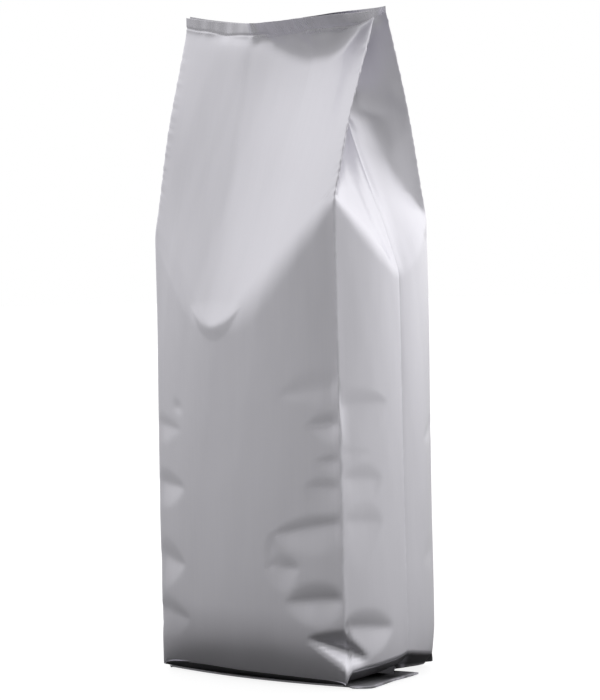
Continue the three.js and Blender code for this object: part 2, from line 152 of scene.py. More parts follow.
# The filled bag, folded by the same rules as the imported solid
CREASE_BACK = 1.8 * MM
GUSSET_BULGE = 3.2 * MM
FOOT_SPREAD_SIDES = 1.5 * MM
FOOT_SPREAD_BACK = -2.2 * MM
TOP_LOW_X = 5 * MM
TOP_RISE_LEFT = 6.7 * MM
TOP_RISE_RIGHT = 3.7 * MM
TOP_FORWARD = 1.5 * MM
TOP_FORWARD_LEFT = 5 * MM
MOUTH_LEFT = 1.5 * MM
MOUTH_RIGHT = 5.5 * MM
MOUTH_SLOPE = 0.25
SEAL_RIGHT_END = 3 * MM
SEAL_TAPER = 18 * MM
SHOULDER = Corners(228 * MM, 243 * MM, 234 * MM, 236 * MM)
FRONT_TIP = Tip(0.385, 179.5 * MM, 0.3)
BACK_TIP = Tip(0.55, 186 * MM, 0.3)
GUSSET_TIP_RIGHT = 203 * MM
GUSSET_TIP_LEFT = 206 * MM
SEAL_BENT_LEFT = (-28 * MM, -6 * MM)
SEAL_BENT_RIGHT = (40 * MM, 64 * MM)
SEAL_LEAN = 0.85
SEAL_BACK = 0.14
SEAL_BACK_X = (-62 * MM, -30 * MM)
HOLLOW_LEFT = (-22 * MM, 20 * MM)
HOLLOW_RIGHT = (28 * MM, 67 * MM)
HOLLOW_CLIMB = 0.8
HOLLOW_DROP = 8 * MM
HOLLOW_SAG = 10 * MM
HOLLOW_UNDER = 60 * MM
HOLLOW_LEAN = 0.2
HOLLOW_SOFT = 0.3
GUSSET_TUCK_X = 42 * MM
GUSSET_TUCK_Z = 268 * MM
SHOULDER_ROUND_ARM = 13 * MM
SHOULDER_ROUND_TIP = 1.5 * MM
SHOULDER_TIP_WIDE = 0.12
SHOULDER_ROUND_EDGE = 3 * MM
SHOULDER_ROUND_GUSSET = 5 * MM
TUCK_ROUND_EDGE = 2 * MM
TUCK_ROUND_DEEP = 14 * MM
TUCK_LEAST = 0.01 * MM
HEAD_PUFF = 2.2 * MM
HEAD_DISH = 1.5
FOOT_LIFT = Corners(1.6 * MM, 0.8 * MM, 1.2 * MM, 1.6 * MM)
FOOT_DRAWN_AT = (0, 0.03, 0.47, 0.56, 0.97, 1)
FOOT_DRAWN = (0, 1.8 * MM, 5.6 * MM, 3.4 * MM, 0.6 * MM, 0)
FOOT_ROUND_CORNER = 1.2 * MM
FOOT_ROUND_MIDDLE = 6 * MM
FOOT_ROUND_CURVE = 0.8
FOOT_ROUND_GUSSET = (5.5 * MM, 5.5 * MM, 7.5 * MM, 4 * MM)
FOOT_ROUND_GUSSET_AT = (0, 0.45, 0.55, 1)
FOOT_FLAT_FRONT = 0.9
FOOT_FLAT_BACK = 0.7
FOOT_FLAT_TURN = (0.4, 0.6)
FOOT_TOE = 4.5 * MM
FOOT_TOE_Z = 38 * MM
FOOT_TOE_CURVE = 0.3
TOE_DENT = -94
TOE_DENT_WIDE = 22 * MM
TOE_DENT_DEEP = 1.5 * MM
FOOT_LIP = 0.9 * MM
FOOT_LIP_AT = (0.5, 0.56, 0.9, 0.97)
FOOT_LIP_TURN = (0.8, 1)
UNDERSIDE_Z = 0.6 * MM
UNDERSIDE_INSET = 24 * MM

# The doubled flap on the floor, and the gussets' corners between it and the underside
FLAP_FRONT = 38 * MM
FLAP_BOW = 6 * MM
FLAP_BACK = 9 * MM
FLAP_FRONT_LEFT = 56 * MM
FLAP_FRONT_RIGHT = 60 * MM
FLAP_END = 68 * MM
FLAP_CORNER_LEFT = 0.5
FLAP_CORNER_RIGHT = 0.15
FLAP_THICK = 0.9 * MM
FLAP_WAVE = 0.15 * MM
FLAP_WAVE_ACROSS = 3
FLAP_WAVE_BACK = 9
FLAP_WAVE_GROWTH = 4
FLAP_CURL = 0.5 * MM
FLAP_CURL_AT = 0.9
FLAP_GRID = (160, 60)
# Painted shade on the flap: darkest across its middle, where the bag and the tucks overhang it
FLAP_SHADE = 1.1
FLAP_SHADE_AT = 0.6
FLAP_SHADE_REACH = 0.22
TUCK_TOP = ((58.8, -21, 5.8), (59, -0.5, 8.4), (58.5, 4.4, 6.7), (46, 6, 1.6))
TUCK_TOP_AT = (0, 0.5, 0.65, 1)
TUCK_LOW = (57.2, 1.8, 1.0)
TUCK_THICK = 0.3 * MM
TUCK_EDGE_WIDE = 0.03
# Painted shade over the whole of each tuck, which stands in the bag's shadow
TUCK_PAINTED_SHADE = 0.7
TUCK_GRID = (40, 12)
TUCK_MERGE = 0.01 * MM
RIM_WIDE = 1.2 * MM
RIM_DROP = 0.5 * MM
SHARP_ANGLE = math.radians(40)

# The foil: scales of its patterns per metre, and how strongly each shows on a piece
NOISE_DETAIL = 3
GRAIN_DETAIL = 1
STREAK_SCALE = (700, 9, 1)
CLOUD_SCALE = (45, 38, 40)
GRAIN_SCALE = (2600, 2200, 2400)
WEAR_SCALE = (420, 160, 300)
WEAR_BREAK = (0.35, 0.7)
WEAR_LEAST = 0.15
PRESS_SCALE = (40, 120, 500)
PRESS_TONE = 0.12
PRESS_HEIGHT = 1
SEAL_SMOOTHER = 0.06
# Painted shade: how far the foil's tone darkens where the mesh's under attribute marks the underside, the
# flap and the tucks
UNDER_PAINTED_SHADE = 0.78
GRAIN_HEIGHT = 0.06 * MM
FILM_LOOK = FoilLook(
    tone=1, streak_tone=0.035, cloud_tone=0.03, wear_tone=0.12, rougher=0,
    streak_rough=0.04, cloud_rough=0.06, wear_rough=0.08, grain_bump=0.07,
)
# The doubled film under the bag: scuffed, so rougher and patchier, while its lower tone is painted shade
SCUFFED_SHADED_LOOK = FoilLook(
    tone=0.6, streak_tone=0.08, cloud_tone=0.20, wear_tone=0.5, rougher=0.25,
    streak_rough=0.06, cloud_rough=0.25, wear_rough=0.35, grain_bump=0.25,
)

# The studio: its broad lights, and the glow with painted shade that the foil mirrors as the floor
SOFT_LIGHTS = (
    SoftLight((0.60, -0.80, 0.10), 0.15),
    SoftLight((0.86, 0.50, 0.05), 0.03),
    SoftLight((0, 1, 0.10), 1.07),
    SoftLight((-1, 0.10, 0.10), 0.74),
    SoftLight((-0.50, -0.70, 0.50), 0.45),
    SoftLight((0.70, 0.40, 0.57), 0.63),
    SoftLight((0, 0, 1), 0.91),
)
SOFT_POWER = 6
FLOOR_WAY = (0.6, 0.8, 0)
FLOOR_TURN = (-0.6, 0.6)
FLOOR_NEAR = 100 * MM
FLOOR_STEP = 3
FOOT_SHADE_REACH = (75 * MM, 122 * MM)
FLOOR_RADIUS = 6
FLOOR_SIDES = 96
FLOOR_ROUGH = 0.7
FLOOR_GLOW = 0.86
WHITE = (1, 1, 1, 1)
SENSOR_WIDTH = 36
VIEW_END = 100

# The film's own detail
EDGE_ROUND = 0.8 * MM
FOLD_ROUND = 12 * MM
FOLD_REACH = 22 * MM
FOLD_SOFT_AT = -0.3
FOLD_SOFT_REACH = 0.28
FOLD_MEAN = ((-1, 1 / 6), (-0.5, 1 / 3), (0.5, 1 / 3), (1, 1 / 6))
EDGE_COLUMNS = (-1.3 * MM, -0.7 * MM, -0.3 * MM, 0.3 * MM, 0.7 * MM, 1.3 * MM)
COLUMN_WIDTH = 1.7 * MM
COLUMN_CLEAR = 0.4 * COLUMN_WIDTH
SEAL_ROWS = 18
HEAD_ROWS = 100
HEAD_SPACING = 1.3
BODY_ROWS = 140
BODY_SPACING = 1.1
BEND_ROWS = 14
UNDER_ROWS = 6
FILM_MERGE = 0.001 * MM
SEAL_STEP = 1.2 * MM
SEAL_SINGLE = 0.3
SEAL_CALM = 0.15
SEAL_CRINKLES = (Wave(0.22, 9, 0.3), Wave(0.16, 17, 2.0), Wave(0.07, 31, 0.7))
SEAL_CRINKLE_FADE = 2.5 * MM
SEAL_PLEATS = (
    Pleat(-50, 4, 0.5), Pleat(-31, 6, -0.6), Pleat(-18, 2.2, 1.1), Pleat(-9, 4, -0.6), Pleat(1, 3, 0.6),
    Pleat(9, 3, -0.5), Pleat(18, 4, 0.6), Pleat(32, 3, -0.5), Pleat(43, 5, 0.4),
)
SEAL_CREASE_DROP = 6.2 * MM
SEAL_CREASE_WIDE = 0.6 * MM
SEAL_CREASE_DEEP = 0.5 * MM
SEAL_CREASE_WAVES = (Wave(0.5, 3, 0.6), Wave(0.3, 7, 2.2))
SEAL_LIP = 0.5 * MM
SEAL_LIP_REACH = 7 * MM
EDGE_HOLD = 0.75
EDGE_HOLD_REACH = 3 * MM
EDGE_HOLD_Z = (28 * MM, 42 * MM)
EDGE_CRUMPLE = 0.1 * MM
EDGE_CRUMPLE_REACH = 2.4 * MM
EDGE_CRUMPLE_Z = (225 * MM, 255 * MM)
EDGE_CRUMPLE_STEPS = (3.7 * MM, 5.3 * MM, 8.9 * MM)
EDGE_CRUMPLE_SHIFT = 300
EDGE_PINCH = 0.25 * MM
EDGE_PINCH_REACH = 3.5 * MM
WEAR_WIDE = 0.9 * MM
CREASE_WEAR = 0.6
# Painted shade under the bag: where it starts on the bottom bend of a gusset and of a panel, and its depth
# on the flat underside
UNDER_SHADE_SOFT = 0.2
UNDER_SHADE_PANEL = (0.65, 1)
UNDER_SHADE_DEEP = 1.25
CREASE_GROOVE = 0.25 * MM
CREASE_GROOVE_WIDE = 0.8 * MM

# The buckles, notch and waves pressed into the film
BUCKLE_VALLEY = 0.12
BUCKLE_OVER_CURVE = 1.5
BUCKLE_UNDER_CURVE = 1.2
BUCKLE_TAPER = 0.75
BUCKLE_GROWTH = 0.6
BUCKLE_LEAST = 1e-6
BUCKLE_STOP = 1.5 * MM
BUCKLES = (
    # The front panel beside its right edge, from the top down
    Buckle((-8, 244.5), (-0.5, 243), 3, 3, 0.6, 1),
    Buckle((-32, 146), (-0.5, 152.5), 14, 13, 1.8, 1),
    Buckle((-18, 130.5), (-0.5, 132), 9, 12, 2.5, 0.8),
    Buckle((-14, 112.5), (-0.5, 113.7), 5, 9, 1.4, 0.8),
    Buckle((-20, 99.5), (-0.5, 100.3), 8, 15, 1.5, 0.5),
    Buckle((-38, 76), (-0.5, 83), 8, 15, 2.0, 0.6),
    Buckle((-39, 77), (-41, 58), 3, 9, 0.8, 0),
    Buckle((-43, 59.5), (-24, 60), 8, 12, 1.2, 0.2),
    Buckle((-31, 42), (-0.5, 44.8), 11, 13, 2.4, 0.35),
    # The rim round the tip of the V
    Buckle((-90, 189), (-57, 189), 12, 7, -0.85, 0, 9),
    # The crumpled film under the seal
    Buckle((-50, 325), (-39, 322), 3, 3, 0.7, 0),
    Buckle((-45, 326), (-40, 317), 2.5, 2.5, 0.5, 0),
    # The right gusset beside its front edge
    Buckle((26, 141.5), (1, 140.5), 11, 26, 2.3, 0.9),
    Buckle((15, 117), (0.5, 117.5), 4, 8, 0.8, 1),
    Buckle((22, 103), (1, 105), 9, 20, 1.7, 0.4),
    Buckle((22, 81), (1, 84), 11, 24, 1.7, 0.3),
    Buckle((27, 28), (0.5, 31), 11, 16, 2.4, 0.5),
    # The right gusset beside its back edge, and its tucked part
    Buckle((69, 226), (79.5, 220), 6, 5, 0.6, 1),
    Buckle((64, 246.5), (79.5, 246), 2, 7, 0.5, 1),
    Buckle((40, 283), (78, 287), 13, 20, 1.0, 0.2),
    Buckle((40, 286), (78, 291), 13, 20, 1.0, 0.2),
    Buckle((62, 120), (79.5, 126), 8, 9, 0.7, 0.8),
    Buckle((58, 58), (76, 63), 10, 12, 0.7, 0.5),
    # The front panel beside its left edge
    Buckle((-101, 127), (-119.5, 129), 6, 11, 0.6, 0.9),
    Buckle((-98, 97), (-119.5, 99), 8, 15, 1.2, 0.8),
    Buckle((-99, 57), (-119.5, 61), 11, 19, 1.5, 0.8),
    Buckle((-96, 29), (-119.5, 33), 9, 16, 1.2, 0.8),
    # The back panel and the left gusset
    Buckle((112, 140), (84, 142), 10, 9, 1.0, 0.6),
    Buckle((124, 64), (85, 69), 12, 10, 1.3, 0.5),
    Buckle((112, 22), (85, 26), 11, 10, 1.8, 0.2),
    Buckle((68, 2), (92, 2), 18, 4, 1.8, 0),
    Buckle((160, 52), (199.5, 46), 12, 10, 1.3, 0.6),
    Buckle((170, 124), (199.5, 130), 10, 9, 0.9, 0.8),
    Buckle((226, 92), (200.5, 94), 9, 8, 0.8, 0.8),
    Buckle((230, 34), (198, 28), 12, 10, 1.4, 0.2),
)
CORNER_NOTCH = Notch((36.5, -47.5, 25.5), (62.3, -29, 14.6), (59.5, -43, 6.5), (58, -41, 30))
NOTCH_SOFT = 1.2 * MM
DIMPLE = (-103, 138)
DIMPLE_RADIUS = 2.6 * MM
DIMPLE_DEEP = 0.4 * MM
WAVES = (
    Wave(0.20, 7, 0.4, 210), Wave(0.12, 13, 2.1, 130), Wave(0.05, 29, 1.2, 70), Wave(0.025, 47, 3.3, 40),
)


class FilmSizes(PropertyGroup):
    """Sizes of the bag's film."""

    panel_width: FloatProperty(
        name="Panel Width", description="Width of the front and back panels lying flat",
        default=120 * MM, min=0.05, unit="LENGTH",
    )
    gusset_half: FloatProperty(
        name="Gusset Half", description="Depth that each side gusset folds in by",
        default=40 * MM, min=0.01, unit="LENGTH",
    )
    body_width: FloatProperty(
        name="Body Width", description="Width of the filled bag between its upright edges",
        default=114 * MM, min=0.05, unit="LENGTH",
    )
    body_depth: FloatProperty(
        name="Body Depth", description="Depth of the filled bag between its upright edges",
        default=82 * MM, min=0.03, unit="LENGTH",
    )
    front_bulge: FloatProperty(
        name="Front Bulge", description="How far the front panel swells between its edges",
        default=10 * MM, min=0, unit="LENGTH",
    )
    back_bulge: FloatProperty(
        name="Back Bulge", description="How far the back panel swells between its edges",
        default=9 * MM, min=0, unit="LENGTH",
    )
    crease_out: FloatProperty(
        name="Crease Out", description="How far the gusset creases are pushed out",
        default=8.5 * MM, min=0, unit="LENGTH",
    )
    top_low: FloatProperty(
        name="Top Height", description="Height of the sealed edge at its lowest place",
        default=334 * MM, min=0.1, unit="LENGTH",
    )
    seal_height: FloatProperty(
        name="Seal Height", description="Height of the heat seal",
        default=7.2 * MM, min=0.001, unit="LENGTH",
    )
    plate: FloatProperty(
        name="Film Plate", description="Half thickness of the film layers pressed in the seal",
        default=0.5 * MM, min=0.0001, unit="LENGTH",
    )


class FoilFinish(PropertyGroup):
    """Colour and surface of the foil."""

    colour: FloatVectorProperty(
        name="Colour", description="Colour of the foil", subtype="COLOR", size=3,
        default=(0.782, 0.771, 0.822), min=0, max=1,
    )
    roughness: FloatProperty(
        name="Roughness", description="How matte the foil is",
        default=0.33, min=0, max=1, subtype="FACTOR",
    )
    metallic: FloatProperty(
        name="Metallic", description="How much the foil mirrors through its matte coat",
        default=0.91, min=0, max=1, subtype="FACTOR",
    )


class StageLook(PropertyGroup):
    """The floor, the light and the camera."""

    floor: FloatVectorProperty(
        name="Floor", description="Colour of the floor", subtype="COLOR", size=3,
        default=(0.18, 0.18, 0.18), min=0, max=1,
    )
    bright: FloatProperty(
        name="Bright", description="Brightness of the whole studio", default=1, min=0,
    )
    floor_front: FloatVectorProperty(
        name="Floor Front",
        description="Brightness of the floor before the bag in the foil, from near to far",
        size=4, default=(0.16, 0.31, 0.38, 0.38), min=0, max=1,
    )
    floor_back: FloatVectorProperty(
        name="Floor Back",
        description="Brightness of the floor behind the bag in the foil, from near to far",
        size=4, default=(0.25, 0.48, 0.52, 0.64), min=0, max=1,
    )
    floor_foot: FloatProperty(
        name="Floor Foot", description="Brightness of the floor at the bag's foot in the foil",
        default=0.01, min=0,
    )
    azimuth: FloatProperty(
        name="Azimuth", description="Direction of the camera round the bag",
        default=math.radians(36.31), unit="ROTATION",
    )
    elevation: FloatProperty(
        name="Elevation", description="Height of the camera above the horizon",
        default=math.radians(2.99), unit="ROTATION",
    )
    roll: FloatProperty(
        name="Roll", description="Tilt of the camera about its own axis",
        default=math.radians(-1.21), unit="ROTATION",
    )
    distance: FloatProperty(
        name="Distance", description="Distance of the camera from its target",
        default=1.25587, min=0.1, unit="LENGTH",
    )
    target: FloatVectorProperty(
        name="Target", description="Place that the camera looks at", subtype="TRANSLATION", size=3,
        default=(5.315 * MM, -0.962 * MM, 165.613 * MM),
    )
    lens: FloatProperty(
        name="Lens", description="Focal length on a 36 mm sensor",
        default=124.95, min=10, unit="CAMERA",
    )


class FoilBagSettings(PropertyGroup):
    """All settings of the foil bag."""

    film: PointerProperty(type=FilmSizes)
    finish: PointerProperty(type=FoilFinish)
    stage: PointerProperty(type=StageLook)


def lerp(start, end, share):
    """The value that lies a share of the way from start to end."""
    return start + (end - start) * share


def arch(share):
    """A round arch that is 1 halfway and 0 at both ends."""
    return 4 * share * (1 - share)


def tent(share):
    """A straight rise and fall that is 1 halfway and 0 at both ends."""
    return 1 - np.abs(2 * share - 1)


def bell(value):
    """A bell curve that is 1 at 0."""
    return np.exp(-(value**2))


def unit(vectors):
    """Vectors of the same directions, each of length 1."""
    return vectors / np.linalg.norm(vectors, axis=-1, keepdims=True)


def length(vectors):
    """The vectors' lengths."""
    return np.linalg.norm(vectors, axis=-1)


def smooth(value, start, end):
    """A soft step from 0 at start to 1 at end."""
    share = np.clip((value - start) / (end - start), 0, 1)
    return share * share * (3 - 2 * share)


def soft_ramp(distance, half):
    """A ramp from 0 that starts as a soft curve of the given half width."""
    curve = (distance + half) ** 2 / (4 * half)
    return np.where(distance < -half, 0, np.where(distance > half, distance, curve))


def vee(share, left, right, tip):
    """Height of a panel's lower edge of the head, which drops from both edges to a rounded tip."""
    before = share < tip.across
    away = np.where(before, 1 - share / tip.across, (share - tip.across) / (1 - tip.across))
    climb = (np.hypot(away, tip.round) - tip.round) / (np.hypot(1, tip.round) - tip.round)
    return lerp(tip.z, np.where(before, left, right), climb)


class BagFilm:
    """The film as a flat sheet folded into a tube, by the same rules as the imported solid.

    A place on it is its distance round the bag, from the front left edge over the front panel, the
    right gusset, the back panel and the left gusset. Every function takes an array of such places.
    """

    def __init__(self, sizes):
        self.sizes = sizes
        self.panel = sizes.panel_width
        self.half_panel = sizes.panel_width / 2
        self.gusset = 2 * sizes.gusset_half
        self.girth = 2 * (self.panel + self.gusset)
        self.fold_x = self.half_panel - sizes.gusset_half
        self.half_width = sizes.body_width / 2
        self.half_depth = sizes.body_depth / 2
        self.settle_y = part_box(NODE)[0].y + self.half_depth + sizes.front_bulge

    def on_panel(self, around, front, right, back, left):
        """The panels' own functions of the share of the way across them, joined round the bag."""
        place = np.mod(around, self.girth)
        start = 0
        whole = None
        widths = (self.panel, self.gusset, self.panel, self.gusset)
        for make, width in zip((front, right, back, left), widths):
            value = np.asarray(make(np.clip((place - start) / width, 0, 1)))
            whole = value if whole is None else np.where(place >= start, value, whole)
            start += width
        return whole

    def on_faces(self, around, make):
        """A function of the share of the way across the front and the back, and 0 on the gussets."""
        return self.on_panel(around, front=make, right=np.zeros_like, back=make, left=np.zeros_like)

    def on_gussets(self, around, make):
        """A function of the share of the way from front to back across a gusset, and 0 elsewhere."""
        return self.on_panel(
            around, front=np.zeros_like, right=make, back=np.zeros_like, left=lambda s: make(1 - s),
        )

    def body_plan(self, around):
        """The filled body in plan: bulging panels, and gussets pushed out along their creases."""
        wide, deep, sizes = self.half_width, self.half_depth, self.sizes

        def crease_depth(share):
            return lerp(-deep, deep, share) + CREASE_BACK * tent(share)

        def gusset_out(share):
            return sizes.crease_out * tent(share) + GUSSET_BULGE * arch(tent(share))

        return self.on_panel(
            around,
            front=lambda s: (lerp(-wide, wide, s), -deep - sizes.front_bulge * arch(s)),
            right=lambda s: (wide + gusset_out(s), crease_depth(s)),
            back=lambda s: (lerp(wide, -wide, s), deep + sizes.back_bulge * arch(s)),
            left=lambda s: (-wide - gusset_out(s), crease_depth(1 - s)),
        )

    def shoulder(self, around):
        """The loop where the head meets the body: a V on both panels, a peak down each gusset."""
        x, y = self.body_plan(around)
        edges = SHOULDER
        z = self.on_panel(
            around,
            front=lambda s: vee(s, edges.front_left, edges.front_right, FRONT_TIP),
            right=lambda s: lerp(lerp(edges.front_right, edges.back_right, s), GUSSET_TIP_RIGHT, tent(s)),
            back=lambda s: vee(s, edges.back_right, edges.back_left, BACK_TIP),
            left=lambda s: lerp(lerp(edges.back_left, edges.front_left, s), GUSSET_TIP_LEFT, tent(s)),
        )
        return np.stack([x, y, z], axis=-1)

    def seal_gap(self, x):
        """Half of the gap between the doubled ends of the seal, which stay open like a mouth."""
        widest = np.where(x > 0, MOUTH_RIGHT, MOUTH_LEFT)
        return widest * np.maximum(0, (np.abs(x) - self.fold_x) / self.sizes.gusset_half)

    def seal_plan(self, around):
        """The sealed strip in plan: both panels flat together, the gussets folded in between."""
        half = self.half_panel

        def plate(x):
            doubled = np.clip((np.abs(x) - self.fold_x) / SEAL_STEP, -1, 1)
            edge = np.clip((half - np.abs(x)) / COLUMN_WIDTH, 0, 1)
            return self.seal_gap(x) + self.sizes.plate * edge * lerp(1, SEAL_SINGLE, (1 - doubled) / 2)

        def folded(share):
            return half - self.sizes.gusset_half * tent(share)

        def front(share):
            x = lerp(-half, half, share)
            return x, -plate(x)

        def back(share):
            x = lerp(half, -half, share)
            return x, plate(x)

        x, apart = self.on_panel(
            around,
            front=front,
            right=lambda s: (folded(s), np.sign(s - 0.5) * self.seal_gap(folded(s))),
            back=back,
            left=lambda s: (-folded(s), np.sign(0.5 - s) * self.seal_gap(-folded(s))),
        )
        forward = TOP_FORWARD + TOP_FORWARD_LEFT * ((half - x) / self.panel) ** 2
        return x, apart, apart - forward

    def seal(self, around, share):
        """A row of the seal, from its top edge (share 0) to its foot (share 1)."""
        x, apart, y = self.seal_plan(around)
        taper = np.clip((self.half_panel - x) / SEAL_TAPER, 0, 1)
        fall = share * lerp(SEAL_RIGHT_END, self.sizes.seal_height, taper)
        return np.stack([x, y, self.top_edge(x) + MOUTH_SLOPE * apart - fall], axis=-1)

    def top_edge(self, x):
        """Height of the sealed edge, which rises from its lowest place to both ends."""
        low = TOP_LOW_X
        along = (x - low) / (self.half_panel + np.sign(low - x) * low)
        return self.sizes.top_low + np.where(x < low, TOP_RISE_LEFT, TOP_RISE_RIGHT) * along**2

    def pressed(self, points):
        """Bends all layers of the head together: the seal leans back at its left and forward over a
        hollow elsewhere."""
        x, z = points[..., 0], points[..., 2]
        drop = self.top_edge(x) - z
        begun = smooth(x, *SEAL_BENT_LEFT)
        bent = begun * (1 - smooth(x, *SEAL_BENT_RIGHT))
        climb = HOLLOW_CLIMB * smooth(x, *HOLLOW_RIGHT)
        lowest = (HOLLOW_DROP + HOLLOW_SAG * smooth(x, *HOLLOW_LEFT)) * (1 - climb)
        above = 1 - soft_ramp(1 - drop / lowest, HOLLOW_SOFT)
        below = np.clip((drop - lowest) / HOLLOW_UNDER, 0, 1)
        hollow = bent * lowest * lerp(-SEAL_LEAN, HOLLOW_LEAN, above) * np.cos(below * np.pi / 2) ** 2
        back = SEAL_BACK * (1 - begun) * smooth(x, *SEAL_BACK_X)
        lifted = np.maximum(0, self.sizes.seal_height - drop)
        points[..., 1] += hollow + back * lifted + self.seal_crinkles(x, drop)
        return points

    def seal_crinkles(self, x, drop):
        """How far the seal is pressed in by its crinkles, its pleats and the crease along its foot."""

        def waved(waves):
            turn = 2 * np.pi * x / self.panel
            return sum(wave.deep * MM * np.sin(wave.count * turn + wave.phase) for wave in waves)

        deep = waved(SEAL_CRINKLES)
        for pleat in SEAL_PLEATS:
            deep -= pleat.deep * MM * bell((x / MM - pleat.x) / pleat.wide)
        deep *= bell(np.maximum(0, drop - self.sizes.seal_height) / SEAL_CRINKLE_FADE)
        beside = (drop - SEAL_CREASE_DROP - waved(SEAL_CREASE_WAVES)) / SEAL_CREASE_WIDE
        return deep + SEAL_CREASE_DEEP * bell(beside)

    def foot_lift(self, around):
        """How far the bottom bend is off the floor: little at the corners, more under the gussets."""
        lift = FOOT_LIFT

        def drawn(share):
            return np.interp(share, FOOT_DRAWN_AT, FOOT_DRAWN)

        return self.on_panel(
            around,
            front=lambda s: lerp(lift.front_left, lift.front_right, s) * (1 - arch(s)),
            right=lambda s: lerp(lift.front_right, lift.back_right, s) + drawn(s),
            back=lambda s: lerp(lift.back_right, lift.back_left, s) * (1 - arch(s)),
            left=lambda s: lerp(lift.back_left, lift.front_left, s) + drawn(1 - s),
        )

    def foot_round(self, around):
        """Radius of the bottom bend: crisp at the corners and gussets, soft along the panels."""

        def panel(share):
            return lerp(FOOT_ROUND_CORNER, FOOT_ROUND_MIDDLE, arch(share) ** FOOT_ROUND_CURVE)

        def gusset(share):
            inside = np.minimum(1, np.minimum(share, 1 - share) / FOOT_DRAWN_AT[1])
            middle = np.interp(share, FOOT_ROUND_GUSSET_AT, FOOT_ROUND_GUSSET)
            return lerp(FOOT_ROUND_CORNER, middle, inside)

        return self.on_panel(around, front=panel, right=gusset, back=panel, left=lambda s: gusset(1 - s))

    def foot_flat(self, around):
        """How flat the bottom bend is: a crisp slope under the gussets' front halves, else round."""

        def gusset(share):
            return lerp(FOOT_FLAT_FRONT, FOOT_FLAT_BACK, smooth(share, *FOOT_FLAT_TURN))

        return self.on_gussets(around, gusset)

    def foot_lip(self, around):
        """How far a lip hangs down at the lower edge of the gussets' back halves."""
        hangs = (0, FOOT_LIP, FOOT_LIP, 0)
        return self.on_gussets(around, lambda s: np.interp(s, FOOT_LIP_AT, hangs))

    def foot(self, around):
        """The lowest loop of the upright walls, just above the bend into the underside."""
        x, y = self.body_plan(around)
        wide = 1 + FOOT_SPREAD_SIDES / self.half_width
        deep = 1 + np.where(y > 0, FOOT_SPREAD_BACK / self.half_depth, 0)
        z = UNDERSIDE_Z + self.foot_lift(around) + self.foot_round(around)
        return np.stack([x * wide, y * deep, z], axis=-1)

    def shoulder_round(self, around):
        """How softly the film bends at the shoulder: crisp at the edges and tips, soft between."""

        def panel(share, tip):
            near_tip = bell((share - tip.across) / SHOULDER_TIP_WIDE)
            arm = lerp(SHOULDER_ROUND_EDGE, SHOULDER_ROUND_ARM, np.sqrt(arch(share)))
            return lerp(arm, SHOULDER_ROUND_TIP, near_tip)

        def gusset(share):
            knee = SHOULDER_ROUND_GUSSET * arch(tent(share))
            return lerp(SHOULDER_ROUND_EDGE, SHOULDER_ROUND_TIP, tent(share)) + knee

        return self.on_panel(
            around,
            front=lambda s: panel(s, FRONT_TIP),
            right=gusset,
            back=lambda s: panel(s, BACK_TIP),
            left=gusset,
        )

    def tuck_round(self, around):
        """How softly the film bends at the tuck creases: crisp at the edges, soft deep inside."""
        return lerp(TUCK_ROUND_EDGE, TUCK_ROUND_DEEP, self.on_gussets(around, tent))

    def tuck_crease(self, around):
        """The creases that tuck each gusset in above the shoulder, which is the crease elsewhere."""
        knee = self.shoulder(around)
        knee_parts = tuple(np.moveaxis(knee, -1, 0))

        def crease(share, side, y_from, z_from, z_to):
            first = share < 0.5
            inwards = tent(share)
            return (
                lerp(side * self.half_width, side * GUSSET_TUCK_X, inwards),
                np.where(first, y_from, -y_from) * (1 - inwards),
                lerp(np.where(first, z_from, z_to), GUSSET_TUCK_Z, inwards),
            )

        edges, deep = SHOULDER, self.half_depth
        parts = self.on_panel(
            around,
            front=lambda s: knee_parts,
            right=lambda s: crease(s, 1, -deep, edges.front_right, edges.back_right),
            back=lambda s: knee_parts,
            left=lambda s: crease(s, -1, deep, edges.back_left, edges.front_left),
        )
        return np.moveaxis(parts, 0, -1)

    def head_side(self, around):
        """Which way the puffed head swells: forwards on the front panel, backwards on the back."""
        return self.on_panel(
            around,
            front=lambda s: HEAD_DISH * arch(s) - 1,
            right=lambda s: 2 * s - 1,
            back=lambda s: 1 - HEAD_DISH * arch(s),
            left=lambda s: 1 - 2 * s,
        )

    def wall(self, around, share):
        """A row of the film: share -1 is at the seal's foot, 0 at the shoulder and 1 at the foot."""
        knee = self.shoulder(around)
        crease = self.tuck_crease(around)
        top = self.seal(around, 1)
        foot = self.foot(around)
        tucked = length(crease - knee)
        head = tucked + length(top - crease)
        down = unit(foot - knee)
        second = unit(top - crease)
        bent = tucked[:, None] > TUCK_LEAST
        first = np.where(bent, (crease - knee) / np.maximum(tucked, TUCK_LEAST)[:, None], second)
        below = share * np.where(share < 0, head, length(foot - knee))
        half = self.shoulder_round(around)
        past = soft_ramp(-below - tucked, self.tuck_round(around))[:, None]
        points = knee + down * soft_ramp(below, half)[:, None]
        points = points + first * (soft_ramp(-below, half)[:, None] - past) + second * past
        swell = HEAD_PUFF * np.sin(np.pi * np.clip(-below / head, 0, 1)) ** 2
        points[:, 1] += self.head_side(around) * swell
        return points

    def fold_round(self, around, share):
        """How far each fold is rounded off: little, but more up the middle of a tucked gusset."""
        tucked = bell((share - FOLD_SOFT_AT) / FOLD_SOFT_REACH)
        middle = self.on_gussets(around, lambda s: bell((s - 0.5) * self.gusset / FOLD_REACH))
        return lerp(EDGE_ROUND, FOLD_ROUND, middle * tucked)

    def rounded(self, row, around, share):
        """A row with the crisp folds rounded off, as the mean of the film close to each place."""
        near = self.fold_round(around, share)
        return sum(row(around + near * step, share) * weight for step, weight in FOLD_MEAN)

    def from_edge(self, around, place):
        """Distance round the bag from a place that is given from the front right edge."""
        across = around - self.panel - place * MM
        return across - self.girth * np.round(across / self.girth)

